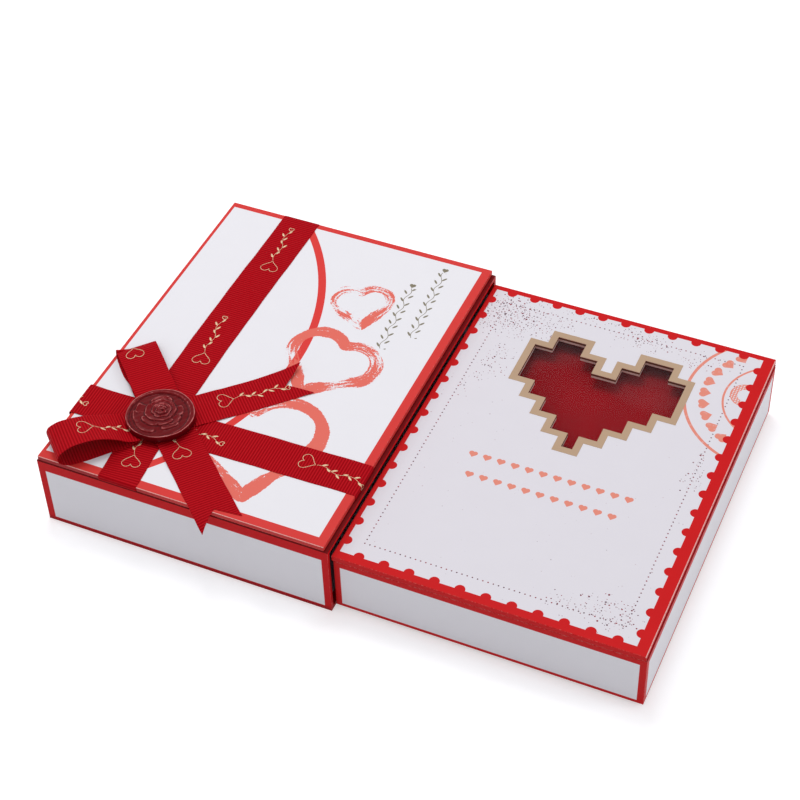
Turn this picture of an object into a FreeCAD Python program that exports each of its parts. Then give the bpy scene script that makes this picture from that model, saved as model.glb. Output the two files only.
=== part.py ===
import FreeCAD, Part
import math
import os

from FreeCAD import Vector

os.makedirs("parts", exist_ok=True)

# A flat gift box: a wrapped card case, open on one long side, a tray that slides out of it,
# and a lid that turns on a paper hinge along the tray's outer side. Sizes are in millimetres.
# The origin is the centre of the case's underside. +X points out of the open side, which is
# called the mouth, +Y to the back and +Z up. At rest the tray is drawn out and the lid is shut.

# Case
case_width = 142.6
case_length = 191.0
case_height = 38.2
board = 1.5
paper = 0.15
turn_in = 3.4
fold_roundness = 2.3  # a folded edge's radius, over the paper's thickness

# Raised panel on the case
cover_thickness = 2.6
cover_glue = 0.3
cover_glue_inset = 2.0
cover_inset_left = 0.7
cover_inset_front = 0.3
cover_inset_right = 1.8

# Fit of the tray in the case
running_gap = 0.15
headroom = 1.95
fore_gap = 1.5
spine_proud = 0.7
lid_side_gap = 0.35
drawn_out_gap = 0.5

# Tray and lid
lid_thickness = 2.6
groove = 1.4
lid_overhang = 0.9
lid_overhang_fore = 0.3
lid_setback = 0.4
collar_thickness = 1.2
collar_clearance = 0.05

# Stepped heart window
heart_step_width = 8.56
heart_step_length = 8.7
heart_columns = 9
heart_rows = 8
heart_back_margin = 21.8
foil_width = 3.35
foil_thickness = 0.1
film_margin = 5.0
film_clearance = 0.2

# Insert
well_depth = 4.9
velvet = 0.8
pad_thickness = 6.0
platform_card = 1.0
insert_clearance = 0.3
slit_width = 2.2
slit_floor = 1.0
ring_slit_length = 26.0
chain_slit_length = 9.0
chain_slit_spread = 44.0
ring_slit_from_front = 62.0
chain_slit_from_back = 14.0

# Paper hinge
hinge_paper = 0.3
hinge_foot = 1.25
hinge_crease_gap = 0.08

# Ribbons, bow and wax seal. The knot's place is taken from the case's left and front sides.
ribbon_width = 19.0
ribbon = 0.3
long_ribbon_from_left = 39.3
cross_ribbon_from_front = 40.3
ribbon_bend = 0.45
lay_gap = 0.05  # between two layers of ribbon that lie on each other
hump_run = 2.0
hump_clearance = 0.3
knot_from_left = 41.8
knot_from_front = 40.2
knot_tuck = 4.0

# Distances from the knot at which a ribbon comes off the stack, the crossing ribbon and the panel
stack_end = 12.0
crossing_end = 17.0
ribbon_end = 27.0
panel_start = 31.0
soft_bend = 4.0

# Bow loops. The front one stands open: its crown and shoulder are places on its upper run.
back_loop_angle = 133.5
back_loop_reach = 49.5
back_loop_height = 3.2
front_loop_angle = 226.5
front_loop_reach = 48.5
front_loop_height = 9.6
crown_from_end = 13.0
crown_rise = 0.4
shoulder_from_end = 23.0
shoulder_drop = 3.0
shoulder_clearance = 0.6

# Bow tails
right_tail_angle = 44.8
right_tail_reach = 69.3
front_tail_angle = -39.8
front_tail_reach = 69.0
tail_notch = 9.0
tail_short_point = 1.5
tail_lift = 1.3
tail_lift_from_tip = 22.2
tail_lift_run = 13.2
tail_first_lift = 0.4
tail_bend = 20.0
tail_droop_radius = 16.0
tail_droop_angle = 50.0

# Wax seal
seal_radius = 15.8
seal_height = 3.9
seal_foot_inset = 1.0
seal_belly = 0.8
seal_flank_height = 1.75
seal_crown_run = 0.9
seal_crown_drop = 0.25
seal_recess_radius = 12.3
seal_recess = 1.0
seal_relief = 0.5
seal_relief_width = 0.55
seal_relief_root = 0.2
seal_gap = 0.1
seal_bed = 0.2
seal_bed_radius = 8.0
petal_ring_shares = (0.78, 0.55, 0.34, 0.15)  # each ring's radius, over the recess's radius
PETALS_IN_RING = (5, 4, 3, 2)
RING_TURNS = (10, 50, 20, 80)  # degrees
petal_gap_angle = 14.0
past = 20.0  # how far a cutting shape reaches past what it cuts
nick = 1.0  # the same, where the room is small

# Heights and faces that follow from the sizes above
wall = board + 2 * paper
left = -case_width / 2
mouth = case_width / 2
front = -case_length / 2
back = case_length / 2
cover_top = case_height + cover_thickness

lid_length = case_length - 2 * wall - 2 * lid_side_gap
tray_length = lid_length - 2 * lid_overhang
tray_width = case_width - wall - fore_gap + spine_proud
tray_fore = mouth + drawn_out_gap + lid_overhang_fore
tray_spine = tray_fore + tray_width
tray_base = wall + running_gap
lid_top = case_height - wall - headroom
lid_base = lid_top - lid_thickness
rim = lid_base - groove
hinge_height = rim + groove / 2

knot_x = left + knot_from_left
knot_y = front + knot_from_front
layer = [cover_top + ribbon * number for number in range(9)]

FACES = ("x0", "x1", "y0", "y1", "z0", "z1")


def envelope(x0, x1, y0, y1, z0, z1):
    """A box given by the places of its six faces."""
    return dict(zip(FACES, (x0, x1, y0, y1, z0, z1)))


def shrunk(box, amount, but=()):
    """The box with each face moved inwards by amount, apart from the faces named."""
    signs = {face: 1 if face.endswith("0") else -1 for face in FACES}
    return {face: box[face] + (0 if face in but else signs[face] * amount) for face in FACES}


def with_faces(box, **faces):
    """The box with some of its faces put elsewhere."""
    return {**box, **faces}


def block(box):
    size = [box[axis + "1"] - box[axis + "0"] for axis in "xyz"]
    return Part.makeBox(*size, Vector(box["x0"], box["y0"], box["z0"]))


def rounded_block(box, sharp=()):
    """A block with its edges rounded as folded paper is, apart from those on the faces named."""
    shape = block(box)

    def touches(edge, face):
        lowest = getattr(edge.BoundBox, face[0].upper() + "Min")
        highest = getattr(edge.BoundBox, face[0].upper() + "Max")
        return abs(lowest - box[face]) < 0.001 and abs(highest - box[face]) < 0.001

    soft = [edge for edge in shape.Edges if not any(touches(edge, face) for face in sharp)]
    return shape.makeFillet(fold_roundness * paper, soft)


def save(name, shape):
    """Write one piece, after checking that it is closed and sound."""
    if not shape.isValid() or shape.Volume <= 0:
        raise ValueError(f"{name} isn't a sound solid")
    shape.exportStep(f"parts/{name}.step")


# Case boards, papers and liner
case_box = envelope(left, mouth, front, back, 0.0, case_height)
case_boards = shrunk(case_box, paper)
case_hollow = with_faces(shrunk(case_boards, board), x1=mouth - paper)
case_room = with_faces(shrunk(case_hollow, paper), x1=mouth)


def make_case_boards():
    between = with_faces(case_boards, z0=case_hollow["z0"], z1=case_hollow["z1"])
    save("case_floor_board", block(with_faces(case_boards, z1=case_hollow["z0"])))
    save("case_top_board", block(with_faces(case_boards, z0=case_hollow["z1"])))
    save("case_front_board", block(with_faces(between, y1=case_hollow["y0"])))
    save("case_back_board", block(with_faces(between, y0=case_hollow["y1"])))
    ends = dict(y0=case_hollow["y0"], y1=case_hollow["y1"])
    save("case_spine_board", block(with_faces(between, x1=case_hollow["x0"], **ends)))


def make_case_papers():
    past_mouth = mouth + nick
    shell = rounded_block(case_box, sharp=("z0", "x1"))
    shell = shell.cut(block(case_boards))
    shell = shell.cut(block(with_faces(case_room, x0=mouth - 2 * paper, x1=past_mouth)))
    fold_start = mouth - turn_in
    fold = block(with_faces(case_hollow, x0=fold_start, x1=mouth))
    fold = fold.cut(block(with_faces(case_room, x0=fold_start - nick, x1=past_mouth)))
    wrap = shell.fuse(fold).removeSplitter()
    wrap = wrap.cut(block(with_faces(case_box, z1=paper)))
    save("case_wrap_paper", wrap)
    save("case_base_paper", block(with_faces(case_box, z1=paper)))
    liner = block(with_faces(case_hollow, x1=fold_start))
    liner = liner.cut(block(with_faces(case_room, x1=past_mouth)))
    save("case_liner_paper", liner)


# Raised panel, with its printed sheet folded over the edges
cover_box = envelope(
    left + cover_inset_left,
    mouth - cover_inset_right,
    front + cover_inset_front,
    back,
    case_height + cover_glue,
    cover_top,
)


def make_cover():
    glue = shrunk(cover_box, cover_glue_inset)
    save("cover_glue_sheet", block(with_faces(glue, z0=case_height, z1=cover_box["z0"])))
    core = shrunk(cover_box, paper, but=("z0",))
    save("cover_board", block(core))
    save("cover_print_sheet", rounded_block(cover_box, sharp=("z0",)).cut(block(core)))


def unit(vector):
    return vector * (1.0 / vector.Length)


def offset_side(points, amount):
    """The points moved sideways by amount, to the left of the way they run, with their radii."""
    ways = [unit(Vector(b[0] - a[0], 0, b[1] - a[1])) for a, b in zip(points, points[1:])]
    normals = [Vector(-way.z, 0, way.x) for way in ways]
    moved = []
    for index, (along, height, radius) in enumerate(points):
        before = normals[max(index - 1, 0)]
        after = normals[min(index, len(normals) - 1)]
        shift = (before + after) * (amount / (1 + before.dot(after)))
        turn = before.cross(after).y
        bend = radius + amount * math.copysign(1, turn) if abs(turn) > 1e-9 else 0.0
        moved.append((Vector(along, 0, height) + shift, bend))
    return moved


def rounded_line(moved):
    """Straight edges through the moved points, joined by tangent arcs."""
    edges = []
    start = moved[0][0]
    for index in range(1, len(moved) - 1):
        corner, radius = moved[index]
        before = unit(corner - moved[index - 1][0])
        after = unit(moved[index + 1][0] - corner)
        half_turn = before.getAngle(after) / 2
        if half_turn < 1e-6:
            continue
        reach = radius * math.tan(half_turn)
        first = corner - before * reach
        last = corner + after * reach
        middle = corner + unit(after - before) * (radius / math.cos(half_turn) - radius)
        edges.append(Part.LineSegment(start, first).toShape())
        edges.append(Part.Arc(first, middle, last).toShape())
        start = last
    edges.append(Part.LineSegment(start, moved[-1][0]).toShape())
    return edges


def band(points):
    """A strip of ribbon seen from its edge: points are (along, height, bend radius)."""
    over = offset_side(points, ribbon / 2)
    under = offset_side(points, -ribbon / 2)
    edges = rounded_line(over) + rounded_line(under)
    for end in (0, -1):
        edges.append(Part.LineSegment(over[end][0], under[end][0]).toShape())
    face = Part.Face(Part.Wire(Part.__sortEdges__(edges)))
    strip = face.extrude(Vector(0, ribbon_width, 0))
    strip.translate(Vector(0, -ribbon_width / 2, 0))
    return strip


def laid(strip, angle, x=knot_x, y=knot_y):
    """The strip turned about the vertical and put at its place."""
    strip.rotate(Vector(0, 0, 0), Vector(0, 0, 1), angle)
    strip.translate(Vector(x, y, 0))
    return strip


def prism(points, low, high):
    """An upright prism on a plan outline."""
    corners = [Vector(x, y, low) for x, y in points]
    face = Part.Face(Part.makePolygon(corners + corners[:1]))
    return face.extrude(Vector(0, 0, high - low))


def make_flat_ribbons():
    middle = ribbon / 2
    tuck = case_height + ribbon / 4
    top = cover_top + middle
    bend = ribbon_bend
    near = cover_box["y0"] - middle
    far = cover_box["y1"] + middle
    long_way = [(near, tuck, 0), (near, top, bend), (far, top, bend), (far, tuck, 0)]
    save("ribbon_long", laid(band(long_way), 90, left + long_ribbon_from_left, 0))
    start = cover_box["x0"] - middle
    end = cover_box["x1"] + middle
    rise = left + long_ribbon_from_left - ribbon_width / 2 - hump_clearance
    fall = left + long_ribbon_from_left + ribbon_width / 2 + hump_clearance
    over = top + ribbon
    cross_way = [
        (start, tuck, 0),
        (start, top, bend),
        (rise - hump_run, top, hump_run),
        (rise, over, hump_run),
        (fall, over, hump_run),
        (fall + hump_run, top, hump_run),
        (end, top, bend),
        (end, tuck, 0),
    ]
    save("ribbon_cross", laid(band(cross_way), 0, 0, front + cross_ribbon_from_front))


def make_loops():
    middle = ribbon / 2
    on_ribbon = layer[1] + middle
    on_panel = layer[0] + middle + lay_gap
    fold = back_loop_height / 2 - ribbon
    base = layer[4] + middle
    crown = base + ribbon + lay_gap
    end = back_loop_reach - middle
    flat = [
        (-knot_tuck, base, 0),
        (stack_end, base, soft_bend),
        (crossing_end + soft_bend / 2, on_ribbon, soft_bend),
        (ribbon_end, on_ribbon, soft_bend),
        (panel_start, on_panel, soft_bend),
        (end, on_panel, fold),
        (end, on_panel + back_loop_height - ribbon, fold),
        (panel_start, on_panel + back_loop_height, soft_bend),
        (stack_end + soft_bend / 4, crown, soft_bend),
        (-knot_tuck, crown, 0),
    ]
    save("bow_loop_back", laid(band(flat), back_loop_angle))
    base = layer[6] + middle + lay_gap
    crown = base + ribbon + lay_gap
    end = front_loop_reach - middle
    peak = on_panel + front_loop_height - ribbon
    fold = front_loop_height / 2 - 2 * ribbon
    open_loop = [
        (-knot_tuck, base, 0),
        (stack_end, base, soft_bend),
        (crossing_end + soft_bend, on_ribbon, soft_bend),
        (ribbon_end, on_ribbon, soft_bend),
        (panel_start, on_panel, soft_bend),
        (end, on_panel, fold),
        (end, peak, fold),
        (end - crown_from_end, peak + crown_rise, 3 * soft_bend),
        (end - shoulder_from_end, peak - shoulder_drop, 3 * soft_bend),
        (seal_radius + shoulder_clearance, crown, 0.6 * soft_bend),
        (-knot_tuck, crown, 0),
    ]
    save("bow_loop_front", laid(band(open_loop), front_loop_angle))


def swallow_tail(strip, reach):
    """Cut the strip's end to two points, one a little shorter, with a notch between them."""
    half = ribbon_width / 2 + lay_gap
    beyond = reach + nick
    outline = [
        (reach - tail_notch, 0.0),
        (reach, half),
        (reach, half + nick),
        (beyond, half + nick),
        (beyond, -half - nick),
        (reach - tail_short_point, -half - nick),
        (reach - tail_short_point, -half),
    ]
    return strip.cut(prism(outline, case_height - past, cover_top + past))


def make_right_tail():
    middle = ribbon / 2
    on_cross = layer[2] + middle
    on_ribbon = layer[1] + middle + lay_gap
    on_panel = layer[0] + middle + lay_gap
    lift_start = right_tail_reach - tail_lift_from_tip
    way = [
        (-knot_tuck, on_cross, 0),
        (crossing_end, on_cross, soft_bend),
        (crossing_end + soft_bend / 2, on_ribbon, soft_bend),
        (ribbon_end, on_ribbon, soft_bend),
        (panel_start, on_panel, soft_bend),
        (lift_start, on_panel, tail_bend),
        (lift_start + tail_lift_run, on_panel + tail_first_lift, tail_bend),
        (right_tail_reach, on_panel + tail_lift, 0),
    ]
    strip = swallow_tail(band(way), right_tail_reach)
    save("bow_tail_right", laid(strip, right_tail_angle))


def make_front_tail():
    """The tail lies on the panel, and what reaches past the panel's front edge bends down."""
    middle = ribbon / 2
    on_panel = layer[0] + middle + lay_gap
    step = soft_bend / 2
    start = panel_start + soft_bend
    way = [
        (-knot_tuck, layer[3] + middle, 0),
        (stack_end, layer[3] + middle, soft_bend),
        (stack_end + step, layer[2] + middle + lay_gap, soft_bend),
        (crossing_end, layer[2] + middle + lay_gap, soft_bend),
        (crossing_end + step, layer[1] + middle + lay_gap, soft_bend),
        (ribbon_end, layer[1] + middle + lay_gap, soft_bend),
        (panel_start, on_panel, soft_bend),
        (start, on_panel, 0),
    ]
    near = laid(band(way), front_tail_angle)
    half = ribbon_width / 2
    reach = front_tail_reach
    outline = [
        (start, -half),
        (reach, -half),
        (reach - tail_notch, 0.0),
        (reach, half),
        (start, half),
    ]
    plan = laid(prism(outline, case_height - past, cover_top + past), front_tail_angle)
    radius = tail_droop_radius
    spread = math.radians(tail_droop_angle)
    centre = Vector(0, cover_box["y0"], on_panel - radius)

    def arc_point(distance, angle):
        return centre + Vector(0, -distance * math.sin(angle), distance * math.cos(angle))

    edges = []
    for distance in (radius - middle, radius + middle):
        flat_end = Vector(0, knot_y, centre.z + distance)
        ends = [arc_point(distance, part * spread) for part in (0, 0.5, 1)]
        edges.append(Part.LineSegment(flat_end, ends[0]).toShape())
        edges.append(Part.Arc(*ends).toShape())
    low = centre.z + radius - middle
    high = low + ribbon
    edges.append(Part.LineSegment(Vector(0, knot_y, low), Vector(0, knot_y, high)).toShape())
    tips = [arc_point(distance, spread) for distance in (radius - middle, radius + middle)]
    edges.append(Part.LineSegment(*tips).toShape())
    face = Part.Face(Part.Wire(Part.__sortEdges__(edges)))
    sheet = face.extrude(Vector(case_width, 0, 0))
    sheet.translate(Vector(left, 0, 0))
    tail = near.fuse(sheet.common(plan)).removeSplitter()
    save("bow_tail_front", tail)


def make_seal():
    """A round of wax with a raised rim and a rose pressed into the middle."""
    base = layer[8] + seal_gap
    bed = Part.makeCylinder(seal_bed_radius, seal_bed, Vector(knot_x, knot_y, base))
    save("seal_glue_dot", bed)
    low = base + seal_bed
    floor = seal_height - seal_recess
    rim_middle = (seal_radius + seal_recess_radius) / 2
    foot = seal_radius - seal_foot_inset
    flank = seal_flank_height
    belly = Part.Arc(
        Vector(foot, 0, 0),
        Vector(foot + seal_belly, 0, flank / 2),
        Vector(seal_radius, 0, flank),
    )
    crown = Part.Arc(
        Vector(seal_radius, 0, flank),
        Vector(rim_middle + seal_crown_run, 0, seal_height - seal_crown_drop),
        Vector(rim_middle, 0, seal_height),
    )
    inner = Part.Arc(
        Vector(rim_middle, 0, seal_height),
        Vector(seal_recess_radius + seal_recess / 2, 0, floor + 0.6 * seal_recess),
        Vector(seal_recess_radius, 0, floor),
    )
    centre_low = Vector(0, 0, 0)
    centre_high = Vector(0, 0, floor)
    edges = [
        Part.LineSegment(centre_low, Vector(foot, 0, 0)).toShape(),
        belly.toShape(),
        crown.toShape(),
        inner.toShape(),
        Part.LineSegment(Vector(seal_recess_radius, 0, floor), centre_high).toShape(),
        Part.LineSegment(centre_high, centre_low).toShape(),
    ]
    face = Part.Face(Part.Wire(edges))
    seal = face.revolve(Vector(0, 0, 0), Vector(0, 0, 1), 360)
    for share, count, turn in zip(petal_ring_shares, PETALS_IN_RING, RING_TURNS):
        seal = seal.fuse(petals(share * seal_recess_radius, count, turn, floor))
    seal.translate(Vector(knot_x, knot_y, low))
    save("wax_seal", seal)


def petals(radius, count, turn, floor):
    """Raised arcs round the middle of the seal, one for each petal of a ring."""
    share = 360.0 / count
    tall = seal_relief + seal_relief_root
    at = Vector(0, 0, floor - seal_relief_root)
    up = Vector(0, 0, 1)
    ring = []
    for number in range(count):
        outer = Part.makeCylinder(radius + seal_relief_width, tall, at, up, share - petal_gap_angle)
        petal = outer.cut(Part.makeCylinder(radius, tall + nick, at))
        petal.rotate(Vector(0, 0, 0), up, turn + number * share)
        ring.append(petal)
    return ring


# Tray boards, papers, collar and insert
tray_box = envelope(tray_fore, tray_spine, -tray_length / 2, tray_length / 2, tray_base, rim)
tray_boards = shrunk(tray_box, paper, but=("z1",))
tray_hollow = shrunk(tray_boards, board, but=("z1",))


def make_tray_boards():
    standing = with_faces(tray_boards, z0=tray_hollow["z0"])
    save("tray_floor_board", block(with_faces(tray_boards, z1=tray_hollow["z0"])))
    save("tray_front_wall", block(with_faces(standing, y1=tray_hollow["y0"])))
    save("tray_back_wall", block(with_faces(standing, y0=tray_hollow["y1"])))
    ends = dict(y0=tray_hollow["y0"], y1=tray_hollow["y1"])
    save("tray_fore_wall", block(with_faces(standing, x1=tray_hollow["x0"], **ends)))
    save("tray_spine_wall", block(with_faces(standing, x0=tray_hollow["x1"], **ends)))


def make_tray_papers():
    wrap = rounded_block(tray_box, sharp=("z0", "z1")).cut(block(tray_boards))
    under = block(with_faces(tray_box, z1=tray_box["z0"] + paper))
    save("tray_wrap_paper", wrap.cut(under))
    save("tray_base_paper", under)


def make_collar():
    outer = with_faces(shrunk(tray_hollow, collar_clearance, but=("z0", "z1")), z1=lid_base)
    inner = with_faces(shrunk(outer, collar_thickness, but=("z0",)), z1=lid_base + nick)
    save("tray_collar", block(outer).cut(block(inner)))
    return inner


def slit_blocks(room, depth):
    """Cuts in the insert: one for a ring and two for a chain."""
    middle = (room["x0"] + room["x1"]) / 2
    top = room["z1"] + nick
    low = room["z1"] - depth
    half = slit_width / 2
    ring_y = room["y0"] + ring_slit_from_front
    length = ring_slit_length / 2
    cuts = [envelope(middle - length, middle + length, ring_y - half, ring_y + half, low, top)]
    chain_y = room["y1"] - chain_slit_from_back
    reach = chain_slit_length / 2
    for side in (-1, 1):
        x = middle + side * chain_slit_spread
        cuts.append(envelope(x - half, x + half, chain_y - reach, chain_y + reach, low, top))
    return [block(cut) for cut in cuts]


def make_insert(collar_room):
    room = shrunk(collar_room, insert_clearance, but=("z0", "z1"))
    room = with_faces(room, z0=tray_hollow["z0"], z1=lid_base - well_depth)
    pad = shrunk(with_faces(room, z0=room["z1"] - velvet - pad_thickness), velvet, but=("z0",))
    cuts = slit_blocks(room, velvet + pad_thickness - slit_floor)
    cover = block(with_faces(room, z0=pad["z0"])).cut(block(pad))
    save("insert_cover", cover.cut(cuts))
    save("insert_pad", block(pad).cut(cuts))
    platform = block(with_faces(room, z1=pad["z0"]))
    below = shrunk(with_faces(room, z1=pad["z0"]), platform_card, but=("x0", "x1", "z0"))
    ends = dict(x0=below["x0"] - nick, x1=below["x1"] + nick)
    tunnel = with_faces(below, z0=below["z0"] - nick, **ends)
    save("insert_platform", platform.cut(block(tunnel)))


# Lid: two boards, papers, foil and film
lid_box = envelope(
    tray_fore - lid_overhang_fore,
    tray_spine - lid_setback,
    -lid_length / 2,
    lid_length / 2,
    lid_base,
    lid_top,
)
lid_boards = shrunk(lid_box, paper)
heart_middle = (lid_box["x0"] + lid_box["x1"]) / 2
heart_width = heart_columns * heart_step_width
heart_length = heart_rows * heart_step_length
heart_left = heart_middle - heart_width / 2
heart_top = lid_box["y1"] - heart_back_margin

# Corners of the right half of the heart, in columns and rows from its upper left corner
HEART_STEPS = [(5, 8), (5, 7), (6, 7), (6, 6), (7, 6), (7, 5), (8, 5), (8, 4), (9, 4), (9, 1)]
HEART_STEPS += [(8, 1), (8, 0), (6, 0), (6, 1), (5, 1), (5, 2)]


def heart_outline(grow):
    """The stepped heart's corners on the plan, with every side moved outwards by grow."""
    mirrored = [(heart_columns - column, row) for column, row in reversed(HEART_STEPS)]
    corners = HEART_STEPS + mirrored
    points = []
    for column, row in corners:
        x = heart_left + column * heart_step_width
        points.append((x, heart_top - row * heart_step_length))
    moved = []
    for index, (x, y) in enumerate(points):
        before = points[index - 1]
        after = points[(index + 1) % len(points)]
        outward = [0.0, 0.0]
        for (x0, y0), (x1, y1) in ((before, (x, y)), ((x, y), after)):
            length = math.hypot(x1 - x0, y1 - y0)
            outward[0] += (y1 - y0) / length
            outward[1] -= (x1 - x0) / length
        moved.append((x + grow * outward[0], y + grow * outward[1]))
    return moved


def make_lid():
    window = prism(heart_outline(-foil_width / 2), lid_base - nick, lid_top + nick)
    seam = (lid_boards["z0"] + lid_boards["z1"]) / 2
    save("lid_upper_board", block(with_faces(lid_boards, z0=seam)).cut(window))
    save("lid_lower_board", block(with_faces(lid_boards, z1=seam)).cut(window))
    wrap = rounded_block(lid_box, sharp=("z0",))
    wrap = wrap.cut(block(with_faces(lid_boards, z0=lid_box["z0"] - nick)))
    save("lid_print_sheet", wrap.cut(window))
    foil = prism(heart_outline(foil_width / 2), lid_top, lid_top + foil_thickness)
    save("window_gold_frame", foil.cut(window))
    film = envelope(
        heart_left - film_margin,
        heart_left + heart_width + film_margin,
        heart_top - heart_length - film_margin,
        heart_top + film_margin,
        lid_base,
        lid_boards["z0"],
    )
    save("window_film", block(film))
    liner = block(with_faces(lid_boards, z0=lid_base, z1=lid_boards["z0"]))
    hole = shrunk(film, -film_clearance)
    save("lid_liner_paper", liner.cut(block(hole)))


def make_hinge():
    """Two leaves of paper that meet at the crease in the groove along the tray's outer side."""
    outer = tray_spine
    ends = dict(y0=lid_box["y0"] + lid_overhang, y1=lid_box["y1"] - lid_overhang)
    reach = outer - hinge_paper - hinge_foot
    fin = envelope(outer - hinge_paper, outer, **ends, z0=rim, z1=hinge_height - hinge_crease_gap)
    foot = with_faces(fin, x0=reach, z1=rim + paper)
    save("tray_hinge_strip", block(fin).fuse(block(foot)).removeSplitter())
    fin = with_faces(fin, z0=hinge_height + hinge_crease_gap, z1=lid_base)
    foot = with_faces(fin, x0=reach, z0=lid_base - paper)
    save("lid_hinge_strip", block(fin).fuse(block(foot)).removeSplitter())


make_case_boards()
make_case_papers()
make_cover()
make_flat_ribbons()
make_loops()
make_right_tail()
make_front_tail()
make_seal()
make_tray_boards()
make_tray_papers()
make_insert(make_collar())
make_lid()
make_hinge()
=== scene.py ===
import math

import bpy
import numpy as np
from mathutils import Matrix, Vector


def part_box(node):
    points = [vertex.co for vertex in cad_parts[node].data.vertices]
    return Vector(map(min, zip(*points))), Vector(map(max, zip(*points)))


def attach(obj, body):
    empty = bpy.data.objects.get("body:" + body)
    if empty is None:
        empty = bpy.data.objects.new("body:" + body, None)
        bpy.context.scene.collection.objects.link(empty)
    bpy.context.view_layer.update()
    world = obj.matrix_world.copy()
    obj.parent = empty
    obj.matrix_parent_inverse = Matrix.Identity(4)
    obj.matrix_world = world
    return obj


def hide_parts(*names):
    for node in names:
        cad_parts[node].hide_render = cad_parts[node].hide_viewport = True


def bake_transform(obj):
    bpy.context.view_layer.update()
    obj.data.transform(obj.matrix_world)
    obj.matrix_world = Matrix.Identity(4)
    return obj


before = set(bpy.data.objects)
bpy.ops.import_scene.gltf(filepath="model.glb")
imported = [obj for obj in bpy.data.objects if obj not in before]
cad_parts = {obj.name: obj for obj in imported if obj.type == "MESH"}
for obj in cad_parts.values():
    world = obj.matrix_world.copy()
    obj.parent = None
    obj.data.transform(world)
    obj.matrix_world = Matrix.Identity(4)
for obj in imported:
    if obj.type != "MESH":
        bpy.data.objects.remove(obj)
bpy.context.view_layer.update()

# Places and sizes are written in millimetres and become metres where a mesh is made.
# +X is the way the tray slides out, +Y is the back and +Z is up.
MM = 0.001


def box_mm(node):
    """The lowest and highest corner of a CAD node, in millimetres."""
    return tuple(Vector(corner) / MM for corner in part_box(node))


def middle_mm(node):
    """The middle of a CAD node's box, on the plan."""
    low, high = box_mm(node)
    return Vector(((low.x + high.x) / 2, (low.y + high.y) / 2, 0))


cover_low, cover_high = box_mm("cover_print_sheet")
case_low, case_high = box_mm("case_wrap_paper")
lid_low, lid_high = box_mm("lid_print_sheet")
tray_low, tray_high = box_mm("tray_wrap_paper")
SEAL_FOOT = box_mm("wax_seal")[0].z
KNOT = middle_mm("wax_seal")
LONG_RIBBON_X = middle_mm("ribbon_long").x
CROSS_RIBBON_Y = middle_mm("ribbon_cross").y


def srgb(red, green, blue):
    """A colour given as the eye reads it, from 0 to 255, as the shader wants it."""
    channels = []
    for value in (red, green, blue):
        share = value / 255
        channels.append(share / 12.92 if share <= 0.04045 else ((share + 0.055) / 1.055) ** 2.4)
    return (*channels, 1.0)


PAPER_WHITE = srgb(239, 237, 241)
LID_WHITE = srgb(229, 225, 231)
CASE_RED = srgb(208, 24, 30)
COVER_RED = srgb(222, 58, 54)
TRAY_RED = srgb(210, 20, 24)
CORAL = srgb(230, 110, 96)
ROSE_PINK = srgb(232, 142, 124)
TAUPE = srgb(132, 124, 104)
SPECK_RED = srgb(146, 20, 40)
SPECK_PLUM = srgb(84, 38, 56)
RIBBON_RED = srgb(160, 0, 13)
RIBBON_DEEP = srgb(92, 0, 6)
GILT = srgb(246, 216, 178)
GOLD_CARD = srgb(186, 158, 131)
WAX_RED = srgb(112, 6, 16)
VELVET_RED = srgb(159, 9, 22)
RUBBED_INK = srgb(232, 140, 132)
FOLD_GLINT = srgb(246, 206, 198)


# Shader maths
class Shade:
    """A number that changes over a surface. Python's operators on it add Math nodes."""

    def __init__(self, finish, socket):
        self.finish = finish
        self.socket = socket

    def __add__(self, other):
        return self.finish.math("ADD", self, other)

    def __sub__(self, other):
        return self.finish.math("SUBTRACT", self, other)

    def __rsub__(self, other):
        return self.finish.math("SUBTRACT", other, self)

    def __mul__(self, other):
        return self.finish.math("MULTIPLY", self, other)

    def __truediv__(self, other):
        return self.finish.math("DIVIDE", self, other)

    def __mod__(self, other):
        return self.finish.math("FLOORED_MODULO", self, other)

    def __gt__(self, other):
        return self.finish.math("GREATER_THAN", self, other)

    def __abs__(self):
        return self.finish.math("ABSOLUTE", self)

    __radd__ = __add__
    __rmul__ = __mul__


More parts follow.
